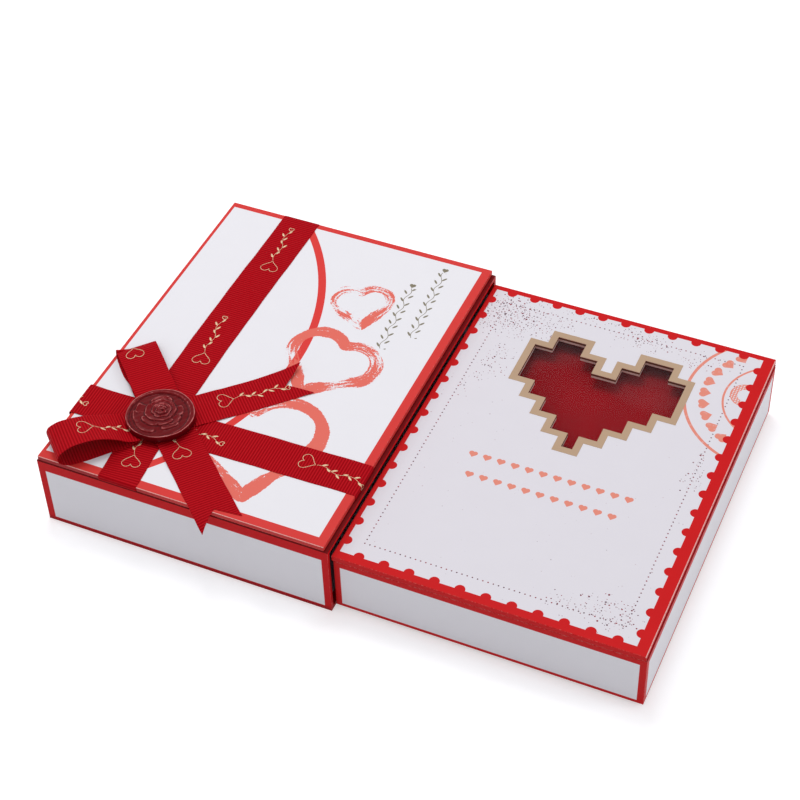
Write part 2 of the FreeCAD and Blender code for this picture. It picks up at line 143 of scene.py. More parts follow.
class Finish:
    """The nodes of one material, or of the world. Lengths in its patterns are in millimetres."""

    def __init__(self, name, owner=None):
        self.material = owner or bpy.data.materials.new(name)
        self.material.use_nodes = True
        self.tree = self.material.node_tree
        self.tree.nodes.clear()

    def node(self, kind, settings=None, sockets=None):
        """Add a node: its settings come first, such as an operation, then its sockets."""
        made = self.tree.nodes.new(kind)
        for name, value in (settings or {}).items():
            setattr(made, name, value)
        for name, value in (sockets or {}).items():
            self.feed(made.inputs[name], value)
        return made

    def feed(self, socket, value):
        if isinstance(value, Shade):
            value = value.socket
        if isinstance(value, bpy.types.NodeSocket):
            self.tree.links.new(value, socket)
        else:
            socket.default_value = value

    def math(self, operation, *values):
        made = self.node("ShaderNodeMath", {"operation": operation}, dict(enumerate(values)))
        return Shade(self, made.outputs[0])

    def most(self, *values):
        result = values[0]
        for value in values[1:]:
            result = self.math("MAXIMUM", result, value)
        return result

    def least(self, a, b):
        return self.math("MINIMUM", a, b)

    def root(self, value):
        return self.math("SQRT", value)

    def sine(self, value):
        return self.math("SINE", value)

    def length(self, x, y):
        return self.root(x * x + y * y)

    def oval(self, x, y, middle, reach):
        """How far out a place lies on an oval: 0 at its middle and 1 on its edge."""
        return self.length((x - middle[0]) / reach[0], (y - middle[1]) / reach[1])

    def split(self, socket):
        made = self.node("ShaderNodeSeparateXYZ", None, {0: socket})
        return [Shade(self, output) for output in made.outputs]

    def joined(self, x, y, z):
        return self.node("ShaderNodeCombineXYZ", None, {0: x, 1: y, 2: z}).outputs[0]

    def place(self):
        """x, y and z in the row frame, in millimetres."""
        metres = self.node("ShaderNodeTexCoord").outputs["Object"]
        return [axis * (1 / MM) for axis in self.split(metres)]

    def cut_place(self):
        """The way along and across a ribbon, in millimetres."""
        return self.split(self.node("ShaderNodeUVMap", {"uv_map": "cut"}).outputs[0])[:2]

    def over(self, value, edge, blur=0.07):
        """0 below the edge, 1 above it, with a soft step between."""
        sockets = {0: value, 1: edge - blur, 2: edge + blur}
        made = self.node("ShaderNodeMapRange", {"interpolation_type": "SMOOTHSTEP"}, sockets)
        return Shade(self, made.outputs[0])

    def under(self, value, edge, blur=0.07):
        return 1 - self.over(value, edge, blur)

    def between(self, value, low, high, blur=0.07):
        return self.over(value, low, blur) * self.under(value, high, blur)

    def panel(self, u, v, low_u, high_u, low_v, high_v):
        return self.between(u, low_u, high_u) * self.between(v, low_v, high_v)

    def mix(self, a, b, factor):
        made = self.node("ShaderNodeMix", {"data_type": "RGBA"}, {0: factor, 6: a, 7: b})
        return made.outputs[2]

    def noise(self, vector, scale, detail=2.0, roughness=0.5):
        sockets = {"Vector": vector, "Scale": scale, "Detail": detail, "Roughness": roughness}
        return Shade(self, self.node("ShaderNodeTexNoise", None, sockets).outputs[0])

    def bump(self, height, distance, normal=None):
        sockets = {"Strength": 1.0, "Distance": distance * MM, "Height": height}
        if normal is not None:
            sockets["Normal"] = normal
        return self.node("ShaderNodeBump", None, sockets).outputs[0]

    def done(self, **sockets):
        """Finish with a Principled shader; a socket's name has _ for a space."""
        named = {name.replace("_", " "): value for name, value in sockets.items()}
        shader = self.node("ShaderNodeBsdfPrincipled", None, named)
        self.close(shader.outputs[0])
        return self.material

    def close(self, shader, output="ShaderNodeOutputMaterial"):
        self.node(output, None, {"Surface": shader})

    def mirrored_or_seen(self):
        """1 for rays from the camera, a gloss or a clear film, and 0 for light on the object."""
        rays = self.node("ShaderNodeLightPath").outputs
        names = ("Is Camera Ray", "Is Glossy Ray", "Is Transmission Ray")
        return self.most(*[Shade(self, rays[name]) for name in names])

    def heart(self, x, y, size):
        """Distance to the outline of a heart with its point at 0, 0, less inside it."""
        px = abs(x) * (1 / size)
        py = y * (1 / size)
        lobe = self.length(px - 0.25, py - 0.75) - math.sqrt(2) / 4
        along = self.most(px + py, 0.0) * 0.5
        side = px - along
        rise = py - along
        dip = py - 1.0
        flank = self.root(self.least(px * px + dip * dip, side * side + rise * rise))
        flank = flank * self.math("SIGN", px - py)
        upper = (px + py) > 1.0
        return (lobe * upper + flank * (1 - upper)) * size


def folded(value, first, pitch):
    """The way from the nearest of a row of places, which start at first and stand a pitch apart."""
    return (value - first + pitch / 2) % pitch - pitch / 2


def turned(x, y, centre, degrees):
    """Coordinates about a centre, in axes turned by that many degrees."""
    c = math.cos(math.radians(degrees))
    s = math.sin(math.radians(degrees))
    dx = x - centre[0]
    dy = y - centre[1]
    return dx * c + dy * s, dy * c - dx * s


def paper_surface(finish, x, y, z):
    """Place, bumps and roughness of paper: fine fibre over the card's slow waves."""
    place = finish.joined(x, y, z)
    fibre = finish.noise(place, 2.2, 3.0, 0.6)
    swell = finish.noise(place, 0.045, 1.0)
    coarse = finish.bump(swell, 0.35)
    return place, finish.bump(fibre, 0.012, coarse), fibre * 0.16 + 0.34


def tint(finish, colour, place, amount=0.05):
    """The colour with a slow, slight drift in its depth."""
    darker = tuple(channel * (1 - 2 * amount) for channel in colour[:3]) + (1.0,)
    return finish.mix(darker, colour, finish.noise(place, 0.09, 3.0))


# Printed papers. A place this near to a piece's side or top counts as on that face.
SIDE_DEPTH = 0.12
SIDE_BLUR = 0.03
TOP_DEPTH = 0.06
TOP_BLUR = 0.02
CASE_PANEL_X = (-67.6, 68.1)
CASE_PANEL_Y = (-91.8, 91.8)
CASE_PANEL_Z = (2.4, 32.5)


def printed_case():
    finish = Finish("printed_case_paper")
    x, y, z = finish.place()
    place, normal, rough = paper_surface(finish, x, y, z)
    ends = finish.over(abs(y), case_high.y - SIDE_DEPTH, SIDE_BLUR)
    ends = ends * finish.panel(x, z, *CASE_PANEL_X, *CASE_PANEL_Z)
    spine = finish.under(x, case_low.x + SIDE_DEPTH, SIDE_BLUR)
    spine = spine * finish.panel(y, z, *CASE_PANEL_Y, *CASE_PANEL_Z)
    white = finish.most(ends, spine)
    red = worn_folds_and_painted_highlight(finish, tint(finish, CASE_RED, place), place, (x, y, z), case_low, case_high)
    # Painted shade: the wrap's top edge is darkened where the gap under the cover shadows it.
    red = finish.mix(red, srgb(70, 8, 12), finish.over(z, case_high.z - 0.3, 0.12) * 0.8)
    # Painted shade: the red turns darker towards the bottom, where the case meets the floor.
    red = finish.mix(red, srgb(128, 8, 18), finish.under(z, 1.8, 1.6) * 0.6)
    colour = finish.mix(red, PAPER_WHITE, white)
    return finish.done(Base_Color=colour, Roughness=rough, Normal=normal, Specular_IOR_Level=0.06)


def worn_folds_and_painted_highlight(finish, colour, place, point, low, high, painted_highlight_fold=None):
    """Paler ink along the outer folds, where it has rubbed thin, and a painted highlight along one
    fold.
    """
    near = []
    for value, bottom, top in zip(point, low, high):
        middle = (bottom + top) / 2
        near.append(finish.over(abs(value - middle), (top - bottom) / 2 - 0.2, 0.1))
    x, y, z = near
    fold = finish.most(x * y, y * z, x * z)
    rub = finish.over(finish.noise(place, 0.9, 4.0, 0.7), 0.56, 0.12)
    colour = finish.mix(colour, RUBBED_INK, fold * rub * 0.6)
    if painted_highlight_fold is None:
        return colour
    # Painted highlight: a broken pale line along the fold that is given.
    broken = finish.over(finish.noise(place, 1.4, 3.0, 0.7), 0.4, 0.1)
    return finish.mix(colour, FOLD_GLINT, painted_highlight_fold * broken * 0.9)


COVER_WHITE_X = (-68.8, 65.3)
COVER_WHITE_Y = (-90.6, 92.2)
FLAP_CENTRE = (-118.9, 2.5)
FLAP_RADIUS = 127.8
FLAP_LINE = 3.8
BRUSH_HEARTS = (
    # point, size, width of the stroke, turn, seed
    ((24.0, -82.0), 52.0, 7.4, 20.0, 1.7),
    ((19.0, -14.0), 35.0, 5.8, -12.0, 4.1),
    ((27.0, 36.0), 23.0, 4.4, 24.0, 7.3),
)
VINES = (
    # foot, length, turn
    ((41.5, 25.0), 44.0, 94.0),
    ((52.0, 37.0), 48.0, 94.0),
)
VINE_WAVE = 11.0
VINE_SWING = 0.9


def brush_heart(finish, x, y, centre, size, width, turn, seed):
    """A heart painted with a dry brush: solid on the wet side, streaked where the brush ran out."""
    u, v = turned(x, y, centre, turn)
    distance = finish.heart(u, v, size)
    angle = finish.math("ARCTAN2", u, v - size * 0.55)
    wobble = finish.noise(finish.joined(angle * 1.1, seed, 0.0), 1.0, 2.0)
    ragged = finish.noise(finish.joined(x * 0.9, y * 0.9, seed), 1.0, 3.0, 0.7)
    half = wobble * width * 0.8 + ragged * 1.4 + width * 0.02
    stroke = finish.under(abs(distance) - half, 0.0, 0.12)
    bristle = finish.joined(angle * (size * 0.06), distance * 0.85, seed)
    streak = finish.noise(bristle, 1.0, 5.0, 0.75)
    grain = finish.noise(finish.joined(x * 1.3, y * 1.3, seed), 1.0, 2.0)
    dryness = finish.noise(finish.joined(angle * 0.8, seed * 2.0, 3.0), 1.0, 1.0) * 0.62 + 0.11
    edge = abs(distance) / width * 0.12
    covered = finish.over(streak * 0.75 + grain * 0.25 - dryness - edge, 0.0, 0.02)
    return stroke * covered


def vine(finish, x, y, start, length, turn):
    """A thin wavy stem with small leaves in turn on each side."""
    u, v = turned(x, y, start, turn)
    within = finish.between(u, 0.0, length, 0.1)
    sway = finish.sine(u * (2 * math.pi / VINE_WAVE)) * VINE_SWING
    stem = finish.under(abs(v - sway), 0.17, 0.09)
    pitch = VINE_WAVE / 2
    leaves = []
    for side in (-1, 1):
        along = (u + pitch * (0.25 * side)) % pitch - pitch / 2
        du, dv = turned(along, v, (0.9, side * 1.75), side * 38)
        leaves.append(finish.under(finish.length(du / 1.5, dv / 0.5), 1.0, 0.15))
    bud = finish.under(finish.heart(v, u - length - 0.3, 2.6), 0.0, 0.1)
    return finish.most(finish.most(stem, *leaves) * within, bud)


def printed_cover():
    finish = Finish("printed_cover_paper")
    x, y, z = finish.place()
    place, normal, rough = paper_surface(finish, x, y, z)
    flap = abs(finish.length(x - FLAP_CENTRE[0], y - FLAP_CENTRE[1]) - FLAP_RADIUS)
    line = finish.under(flap, FLAP_LINE / 2)
    colour = tint(finish, PAPER_WHITE, place, 0.012)
    colour = finish.mix(colour, COVER_RED, line)
    for heart in BRUSH_HEARTS:
        colour = finish.mix(colour, CORAL, brush_heart(finish, x, y, *heart))
    for stem in VINES:
        colour = finish.mix(colour, TAUPE, vine(finish, x, y, *stem))
    top = finish.over(z, cover_high.z - TOP_DEPTH, TOP_BLUR)
    white = finish.panel(x, y, *COVER_WHITE_X, *COVER_WHITE_Y) * top
    # Painted highlight along the cover's top front fold.
    painted_highlight = finish.under(y, cover_low.y + 0.22, 0.08) * finish.over(z, cover_high.z - 0.22, 0.08)
    red = tint(finish, COVER_RED, place)
    red = worn_folds_and_painted_highlight(finish, red, place, (x, y, z), cover_low, cover_high, painted_highlight)
    # Painted shade: the cover's front face is darkened, deeper towards the left.
    face = finish.under(y, cover_low.y + 0.12, 0.05) * finish.under(z, cover_high.z - 0.35, 0.25)
    red = finish.mix(red, srgb(150, 14, 24), face * (finish.under(x, -18.0, 22.0) * 0.55 + 0.3))
    colour = finish.mix(red, colour, white)
    return finish.done(Base_Color=colour, Roughness=rough, Normal=normal, Specular_IOR_Level=0.16)


TRAY_PANEL_SIDE = 3.0
TRAY_PANEL_LOW = 1.6
TRAY_PANEL_HIGH = 3.2


def printed_tray():
    finish = Finish("printed_tray_paper")
    x, y, z = finish.place()
    place, normal, rough = paper_surface(finish, x, y, z)
    tall = (tray_low.z + TRAY_PANEL_LOW, tray_high.z - TRAY_PANEL_HIGH)
    wide = (tray_low.x + TRAY_PANEL_SIDE, tray_high.x - TRAY_PANEL_SIDE)
    long = (tray_low.y + TRAY_PANEL_SIDE, tray_high.y - TRAY_PANEL_SIDE)
    ends = finish.over(abs(y), tray_high.y - SIDE_DEPTH, SIDE_BLUR)
    ends = ends * finish.panel(x, z, *wide, *tall)
    middle = (tray_low.x + tray_high.x) / 2
    half = (tray_high.x - tray_low.x) / 2
    sides = finish.over(abs(x - middle), half - SIDE_DEPTH, SIDE_BLUR)
    sides = sides * finish.panel(y, z, *long, *tall)
    red = worn_folds_and_painted_highlight(finish, tint(finish, TRAY_RED, place), place, (x, y, z), tray_low, tray_high)
    colour = finish.mix(red, PAPER_WHITE, finish.most(ends, sides))
    return finish.done(Base_Color=colour, Roughness=rough, Normal=normal, Specular_IOR_Level=0.1)


# Stamp print on the lid. Places are measured from the lid's fore front corner.
STAMP_X = (2.3, 134.6)
STAMP_Y = (4.0, 183.7)
SCALLOP_RADIUS = 2.35
SCALLOP_SINK = -0.15
SCALLOPS_FRONT = (11.1, 11.53, 11)
SCALLOPS_BACK = (10.3, 11.51, 11)
SCALLOPS_ALONG = (10.85, 11.79, 15)
DOTTED_X = (10.3, 127.2)
DOTTED_Y = (12.0, 176.6)
DOT_PITCH = 2.35
DOT_RADIUS = 0.33
POSTMARK = (149.0, 157.4)
POSTMARK_RINGS = ((41.9, 1.45), (24.7, 1.0))
RING_HEARTS = 28
RING_HEART_SIZE = 4.8
RING_HEART_POINTS = 30.4
RING_HEART_MIDDLES = 33.0
INNER_MARK = (134.0, 158.4, 7.2, 4.0)
HEART_ROWS = (
    # first heart's point, hearts in the row
    ((33.0, 76.0), 12),
    ((36.0, 64.0), 11),
)
ROW_HEART_SIZE = 3.3
ROW_HEART_PITCH = 6.6


def scallops(finish, along, across, row, inwards):
    """A row of half rounds along a border, which is at 0 across."""
    first, pitch, count = row
    last = first + pitch * (count - 1)
    disc = finish.length(folded(along, first, pitch), across * inwards + SCALLOP_SINK)
    row_only = finish.between(along, first - pitch / 2, last + pitch / 2)
    return finish.under(disc, SCALLOP_RADIUS) * row_only


def dotted_line(finish, along, across, low, high):
    dot = finish.under(finish.length(folded(along, low, DOT_PITCH), across), DOT_RADIUS)
    return dot * finish.between(along, low - DOT_RADIUS, high + DOT_RADIUS)


SPATTER_ZONES = (
    # middle, reach each way, strength
    ((16.0, 170.0), (24.0, 20.0), 1.5),
    ((33.0, 166.0), (18.0, 14.0), 0.8),
    ((80.0, 176.0), (20.0, 9.0), 0.95),
    ((60.0, 181.0), (34.0, 4.0), 0.55),
    ((20.0, 138.0), (9.0, 18.0), 0.6),
    ((14.0, 118.0), (6.0, 12.0), 0.4),
    ((108.0, 172.0), (14.0, 9.0), 0.5),
    ((118.0, 16.0), (20.0, 12.0), 0.75),
    ((100.0, 14.0), (13.0, 8.0), 0.5),
    ((127.0, 104.0), (6.0, 16.0), 0.7),
)
SPATTER_DOTS = (
    # pitch, size, shift of the pattern
    (1.25, 0.17, 3.0),
    (1.8, 0.25, 17.0),
    (3.6, 0.34, 41.0),
)


def speckle(finish, x, y):
    """Spatter: small dots of many sizes, thick in some places and thin in others."""
    zones = []
    for middle, reach, strength in SPATTER_ZONES:
        zones.append(finish.under(finish.oval(x, y, middle, reach), 0.62, 0.45) * strength)
    clump = finish.noise(finish.joined(x * 0.16, y * 0.16, 5.0), 1.0, 2.0) * 1.6 - 0.25
    density = finish.most(*zones) * clump
    settings = {"voronoi_dimensions": "2D", "feature": "F1"}
    masks = []
    for pitch, size, shift in SPATTER_DOTS:
        spot_place = finish.joined(x / pitch + shift, y / pitch + shift, 0.0)
        cells = finish.node("ShaderNodeTexVoronoi", settings, {"Vector": spot_place, "Scale": 1.0})
        distance = Shade(finish, cells.outputs["Distance"]) * pitch
        chance, spread, _ = finish.split(cells.outputs["Color"])
        radius = spread * size + size * 0.45
        here = finish.under(distance - radius, 0.0, 0.05)
        masks.append(here * finish.over(density * 0.95 - chance, 0.0, 0.01))
    return finish.most(*masks)


def postmark(finish, x, y):
    """Two rings cut off by the border, with hearts between them and a small hatched ring inside."""
    u = x - POSTMARK[0]
    v = y - POSTMARK[1]
    radius = finish.length(u, v)
    turn = finish.math("ARCTAN2", v, u)
    rings = [finish.under(abs(radius - ring), width / 2, 0.1) for ring, width in POSTMARK_RINGS]
    step = 2 * math.pi / RING_HEARTS
    along = (turn % step - step / 2) * RING_HEART_MIDDLES
    hearts = finish.heart(along, radius - RING_HEART_POINTS, RING_HEART_SIZE)
    hearts = finish.under(hearts, 0.0, 0.1)
    middle_x, middle_y, outer, inner = INNER_MARK
    ring = finish.length(x - middle_x, y - middle_y)
    weave = finish.most(finish.sine(x * 5.2), finish.sine(y * 5.2))
    hatch = finish.over(weave, 0.2, 0.3) * finish.between(ring, inner, outer)
    rim = finish.under(abs(ring - outer), 0.2, 0.1)
    ink_wear_and_crest_glint = finish.over(finish.noise(finish.joined(x * 0.5, y * 0.5, 8.0), 1.0, 3.0), 0.36, 0.1)
    return finish.most(*rings, hearts, hatch, rim) * (ink_wear_and_crest_glint * 0.3 + 0.7)


def heart_row(finish, x, y, first, count):
    """A row of small hearts that runs along x."""
    start, point = first
    last = start + ROW_HEART_PITCH * (count - 1)
    half = ROW_HEART_PITCH / 2
    along = folded(x, start, ROW_HEART_PITCH)
    shape = finish.under(finish.heart(along, y - point, ROW_HEART_SIZE), 0.0, 0.1)
    return shape * finish.between(x, start - half, last + half)


def printed_lid():
    finish = Finish("printed_lid_paper")
    row_x, row_y, z = finish.place()
    place, normal, rough = paper_surface(finish, row_x, row_y, z)
    x = row_x - lid_low.x
    y = row_y - lid_low.y
    bumps = finish.most(
        scallops(finish, x, y - STAMP_Y[0], SCALLOPS_FRONT, 1),
        scallops(finish, x, y - STAMP_Y[1], SCALLOPS_BACK, -1),
        scallops(finish, y, x - STAMP_X[0], SCALLOPS_ALONG, 1),
        scallops(finish, y, x - STAMP_X[1], SCALLOPS_ALONG, -1),
    )
    dots = finish.most(
        dotted_line(finish, x, y - DOTTED_Y[0], *DOTTED_X),
        dotted_line(finish, x, y - DOTTED_Y[1], *DOTTED_X),
        dotted_line(finish, y, x - DOTTED_X[0], *DOTTED_Y),
        dotted_line(finish, y, x - DOTTED_X[1], *DOTTED_Y),
    )
    colour = tint(finish, LID_WHITE, place, 0.012)
    ink_place = finish.joined(x * 0.7, y * 0.7, 1.0)
    plum = finish.over(finish.noise(ink_place, 1.0, 1.0), 0.48, 0.05)
    ink = finish.mix(SPECK_RED, SPECK_PLUM, plum)
    colour = finish.mix(colour, ink, finish.most(dots, speckle(finish, x, y)))
    colour = finish.mix(colour, ROSE_PINK, postmark(finish, x, y))
    rows = [heart_row(finish, x, y, *row) for row in HEART_ROWS]
    colour = finish.mix(colour, ROSE_PINK, finish.most(*rows))
    top = finish.over(z, lid_high.z - TOP_DEPTH, TOP_BLUR)
    white = finish.panel(x, y, *STAMP_X, *STAMP_Y) * top * (1 - bumps)
    # Painted highlight along the lid's outer long top fold.
    painted_highlight = finish.over(row_x, lid_high.x - 0.3, 0.1) * finish.over(z, lid_high.z - 0.35, 0.1)
    red = tint(finish, TRAY_RED, place)
    red = worn_folds_and_painted_highlight(finish, red, place, (row_x, row_y, z), lid_low, lid_high, painted_highlight)
    colour = finish.mix(red, colour, white)
    return finish.done(Base_Color=colour, Roughness=rough, Normal=normal, Specular_IOR_Level=0.1)


# Plain papers, card and glue
def plain_paper(name, colour, shine=0.1, drift=0.06):
    finish = Finish(name)
    place, normal, rough = paper_surface(finish, *finish.place())
    colour = tint(finish, colour, place, drift)
    return finish.done(Base_Color=colour, Roughness=rough, Normal=normal, Specular_IOR_Level=shine)


def card(name, pale, dark):
    """Grey board: short fibres and small dark flecks, with the layers showing at a cut edge."""
    finish = Finish(name)
    x, y, z = finish.place()
    place = finish.joined(x, y, z)
    layered = finish.joined(x * 0.6, y * 0.6, z * 9.0)
    fibre = finish.noise(layered, 1.0, 4.0, 0.65)
    fleck = finish.over(finish.noise(place, 3.0, 2.0), 0.66, 0.03) * 0.5
    colour = finish.mix(finish.mix(dark, pale, fibre), srgb(84, 72, 62), fleck)
    normal = finish.bump(fibre, 0.05)
    return finish.done(Base_Color=colour, Roughness=0.85, Normal=normal, Specular_IOR_Level=0.2)


def gold_card():
    finish = Finish("gold_frame_card")
    place = finish.joined(*finish.place())
    grain = finish.noise(place, 3.4, 3.0, 0.6)
    broad = finish.noise(place, 0.05, 2.0)
    colour = finish.mix(srgb(177, 147, 120), GOLD_CARD, broad)
    colour = finish.mix(colour, srgb(200, 174, 147), grain * 0.25)
    normal = finish.bump(grain, 0.012)
    rough = grain * 0.15 + 0.45
    return finish.done(
        Base_Color=colour, Roughness=rough, Normal=normal, Metallic=0.12, Specular_IOR_Level=0.15
    )


def dried_glue():
    finish = Finish("dried_glue")
    place = finish.joined(*finish.place())
    lumps = finish.noise(place, 0.8, 3.0)
    colour = finish.mix(srgb(196, 190, 174), srgb(226, 222, 210), lumps)
    normal = finish.bump(lumps, 0.08)
    return finish.done(Base_Color=colour, Roughness=lumps * 0.3 + 0.35, Normal=normal)


# The film's painted reflection keeps off the heart's middle and shows in its right lobe: middle,
# reach
REFLECTION_KEEPS_OFF = ((142.0, 34.0), (32.0, 24.0))
REFLECTION_RIGHT = ((163.0, 56.0), (20.0, 13.0))
REFLECTION_FROM_Y = 34.0


def clear_film():
    """Clear window film, a little wavy, with a faint painted reflection: a milky layer towards the
    lobes of the heart and at glancing angles.
    """
    finish = Finish("window_film")
    x, y, z = finish.place()
    place = finish.joined(x, y, z)
    normal = finish.bump(finish.noise(place, 0.03, 1.5), 1.2)
    outside = finish.over(finish.oval(x, y, *REFLECTION_KEEPS_OFF), 1.15, 0.2)
    right = finish.under(finish.oval(x, y, *REFLECTION_RIGHT), 1.0, 0.3)
    painted_reflection = finish.most(outside, right) * finish.over(y, REFLECTION_FROM_Y, 10.0)
    painted_reflection = painted_reflection * (finish.noise(place, 0.06, 2.0) + 0.35)
    reflection_colour = finish.mix(srgb(250, 250, 252), srgb(250, 240, 244), painted_reflection)
    facing = finish.node("ShaderNodeLayerWeight", None, {"Blend": 0.5}).outputs["Facing"]
    facing = Shade(finish, facing)
    # Painted reflection: the milky layer thickens at glancing angles and in the lobes.
    alpha = facing * facing * 0.04 + painted_reflection * 0.007 + 0.0025
    return finish.done(Base_Color=reflection_colour, Roughness=0.1, Normal=normal, Alpha=alpha)


def velvet():
    finish = Finish("red_velvet")
    x, y, z = finish.place()
    place = finish.joined(x, y, z)
    nap = finish.noise(place, 3.0, 3.0, 0.6)
    brushed = finish.noise(finish.joined(x * 0.05, y * 0.02, z), 1.0, 3.0)
    colour = finish.mix(srgb(121, 5, 16), VELVET_RED, brushed * 0.8 + nap * 0.16)
    normal = finish.bump(nap, 0.03)
    return finish.done(
        Base_Color=colour,
        Roughness=nap * 0.2 + 0.75,
        Normal=normal,
        Specular_IOR_Level=0.05,
        Sheen_Weight=0.12,
        Sheen_Roughness=0.4,
        Sheen_Tint=srgb(220, 40, 50),
    )


def grosgrain():
    """Ribbed ribbon: fine warp threads run along it over the ribs, which are in the mesh."""
    finish = Finish("red_grosgrain")
    along, across = finish.cut_place()
    rib = finish.math("PINGPONG", along / RIB_PITCH, 0.5) * 2.0
    groove = finish.under(rib, 0.24, 0.24)
    warp = finish.sine(across * (2 * math.pi / 0.36))
    fuzz = finish.noise(finish.joined(along * 0.6, across * 3.0, 0.0), 1.0, 4.0, 0.65)
    shade = finish.noise(finish.joined(along * 0.04, across * 0.05, 2.0), 1.0, 2.0)
    crest = finish.over(rib, 0.72, 0.3)
    colour = finish.mix(RIBBON_RED, srgb(184, 4, 18), fuzz * 0.6 + shade * 0.3)
    # Painted highlight on the rib crests and painted shade in the grooves.
    colour = finish.mix(colour, srgb(224, 44, 56), crest * (fuzz * 0.5 + 0.08))
    colour = finish.mix(colour, RIBBON_DEEP, groove * 0.45)
    height = warp * 0.35 + fuzz
    normal = finish.bump(height, 0.03)
    rough = fuzz * 0.2 + 0.42
    return finish.done(
        Base_Color=colour,
        Roughness=rough,
        Normal=normal,
        Specular_IOR_Level=0.03,
        Sheen_Weight=0.03,
        Sheen_Roughness=0.3,
        Sheen_Tint=srgb(255, 40, 40),
    )


def gilt_print():
    finish = Finish("gilt_ribbon_print")
    place = finish.joined(*finish.place())
    flake = finish.noise(place, 6.0, 3.0, 0.7)
    colour = finish.mix(srgb(222, 176, 134), GILT, flake)
    normal = finish.bump(flake, 0.02)
    return finish.done(Base_Color=colour, Roughness=0.4, Normal=normal, Metallic=0.2)


def sealing_wax():
    finish = Finish("dark_red_wax")
    x, y, z = finish.place()
    place = finish.joined(x, y, z)
    cloud = finish.noise(place, 0.22, 3.0)
    fine = finish.noise(place, 2.4, 3.0)
    lip = finish.node("ShaderNodeAttribute", {"attribute_name": "lip"}).outputs["Fac"]
    lip = Shade(finish, lip)
    colour = finish.mix(srgb(102, 5, 14), WAX_RED, cloud)
    # Painted shade in the creases of the relief.
    colour = finish.mix(colour, srgb(46, 2, 8), finish.under(lip, -0.08, 0.06) * 0.7)
    # Painted highlight: pale, patchy colour on the raised lips, which also get the coat.
    patchy = finish.over(finish.noise(place, 0.34, 1.0), 0.5, 0.1)
    lip_highlight_and_coat = finish.over(lip, 0.11, 0.06) * (patchy * 0.7 + 0.1)
    colour = finish.mix(colour, srgb(190, 88, 86), lip_highlight_and_coat * (fine * 0.6 + 0.4))
    # Painted highlight: a broken pale line on the crest rings, where the lip attribute is highest.
    ink_wear_and_crest_glint = finish.over(finish.noise(place, 0.12, 2.0), 0.46, 0.12)
    colour = finish.mix(colour, srgb(206, 120, 116), finish.over(lip, 0.7, 0.1) * ink_wear_and_crest_glint * 0.7)
    # Painted shade: darker near the foot of the seal.
    foot = finish.under(z, SEAL_FOOT + 1.7, 1.3)
    colour = finish.mix(colour, srgb(66, 2, 8), foot * 0.85)
    normal = finish.bump(finish.noise(place, 0.5, 2.0), 0.1)
    normal = finish.bump(fine, 0.012, normal)
    return finish.done(
        Base_Color=colour,
        Roughness=fine * 0.08 + 0.12,
        Normal=normal,
        Specular_IOR_Level=0.28,
        Specular_Tint=srgb(255, 140, 140),
        Coat_Weight=lip_highlight_and_coat * 0.5,
        Coat_Roughness=0.12,
    )


# Meshes
def add_object(name, data):
    obj = bpy.data.objects.new(name, data)
    bpy.context.scene.collection.objects.link(obj)
    return obj


def make_piece(name, points, faces, body, material, cut=None):
    """A mesh object from points in millimetres. cut gives each point its place on a flat ribbon."""
    mesh = bpy.data.meshes.new(name)
    mesh.from_pydata([tuple(value * MM for value in point) for point in points], [], faces)
    mesh.polygons.foreach_set("use_smooth", [True] * len(mesh.polygons))
    if cut is not None:
        corners = np.zeros(len(mesh.loops), np.int32)
        mesh.loops.foreach_get("vertex_index", corners)
        layer = mesh.uv_layers.new(name="cut")
        layer.data.foreach_set("uv", np.asarray(cut, np.float32)[corners].ravel())
    mesh.materials.append(material)
    mesh.update()
    obj = add_object(name, mesh)
    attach(obj, body)
    return obj


def closed_sheet(rows, columns):
    """Faces of a sheet with two sides, each a grid of rows by columns, joined at its rim."""
    faces = []
    back = rows * columns
    for i in range(rows - 1):
        for j in range(columns - 1):
            a = i * columns + j
            corners = (a, a + 1, a + columns + 1, a + columns)
            faces.append(corners)
            faces.append(tuple(back + corner for corner in reversed(corners)))
    rim = [j for j in range(columns)]
    rim += [i * columns + columns - 1 for i in range(1, rows)]
    rim += [(rows - 1) * columns + j for j in range(columns - 2, -1, -1)]
    rim += [i * columns for i in range(rows - 2, 0, -1)]
    for a, b in zip(rim, rim[1:] + rim[:1]):
        faces.append((b, a, back + a, back + b))
    return faces


# Ribbons
RIBBON_WIDTH = 19.0
RIBBON_THICK = 0.3
RIB_PITCH = 1.31
RIB_HEIGHT = 0.13
RIB_STEPS = 6
SELVEDGE = 0.45
ACROSS = (-9.5, -9.3, -9.05, -8.6, -6.5, -3.5, 0.0, 3.5, 6.5, 8.6, 9.05, 9.3, 9.5)


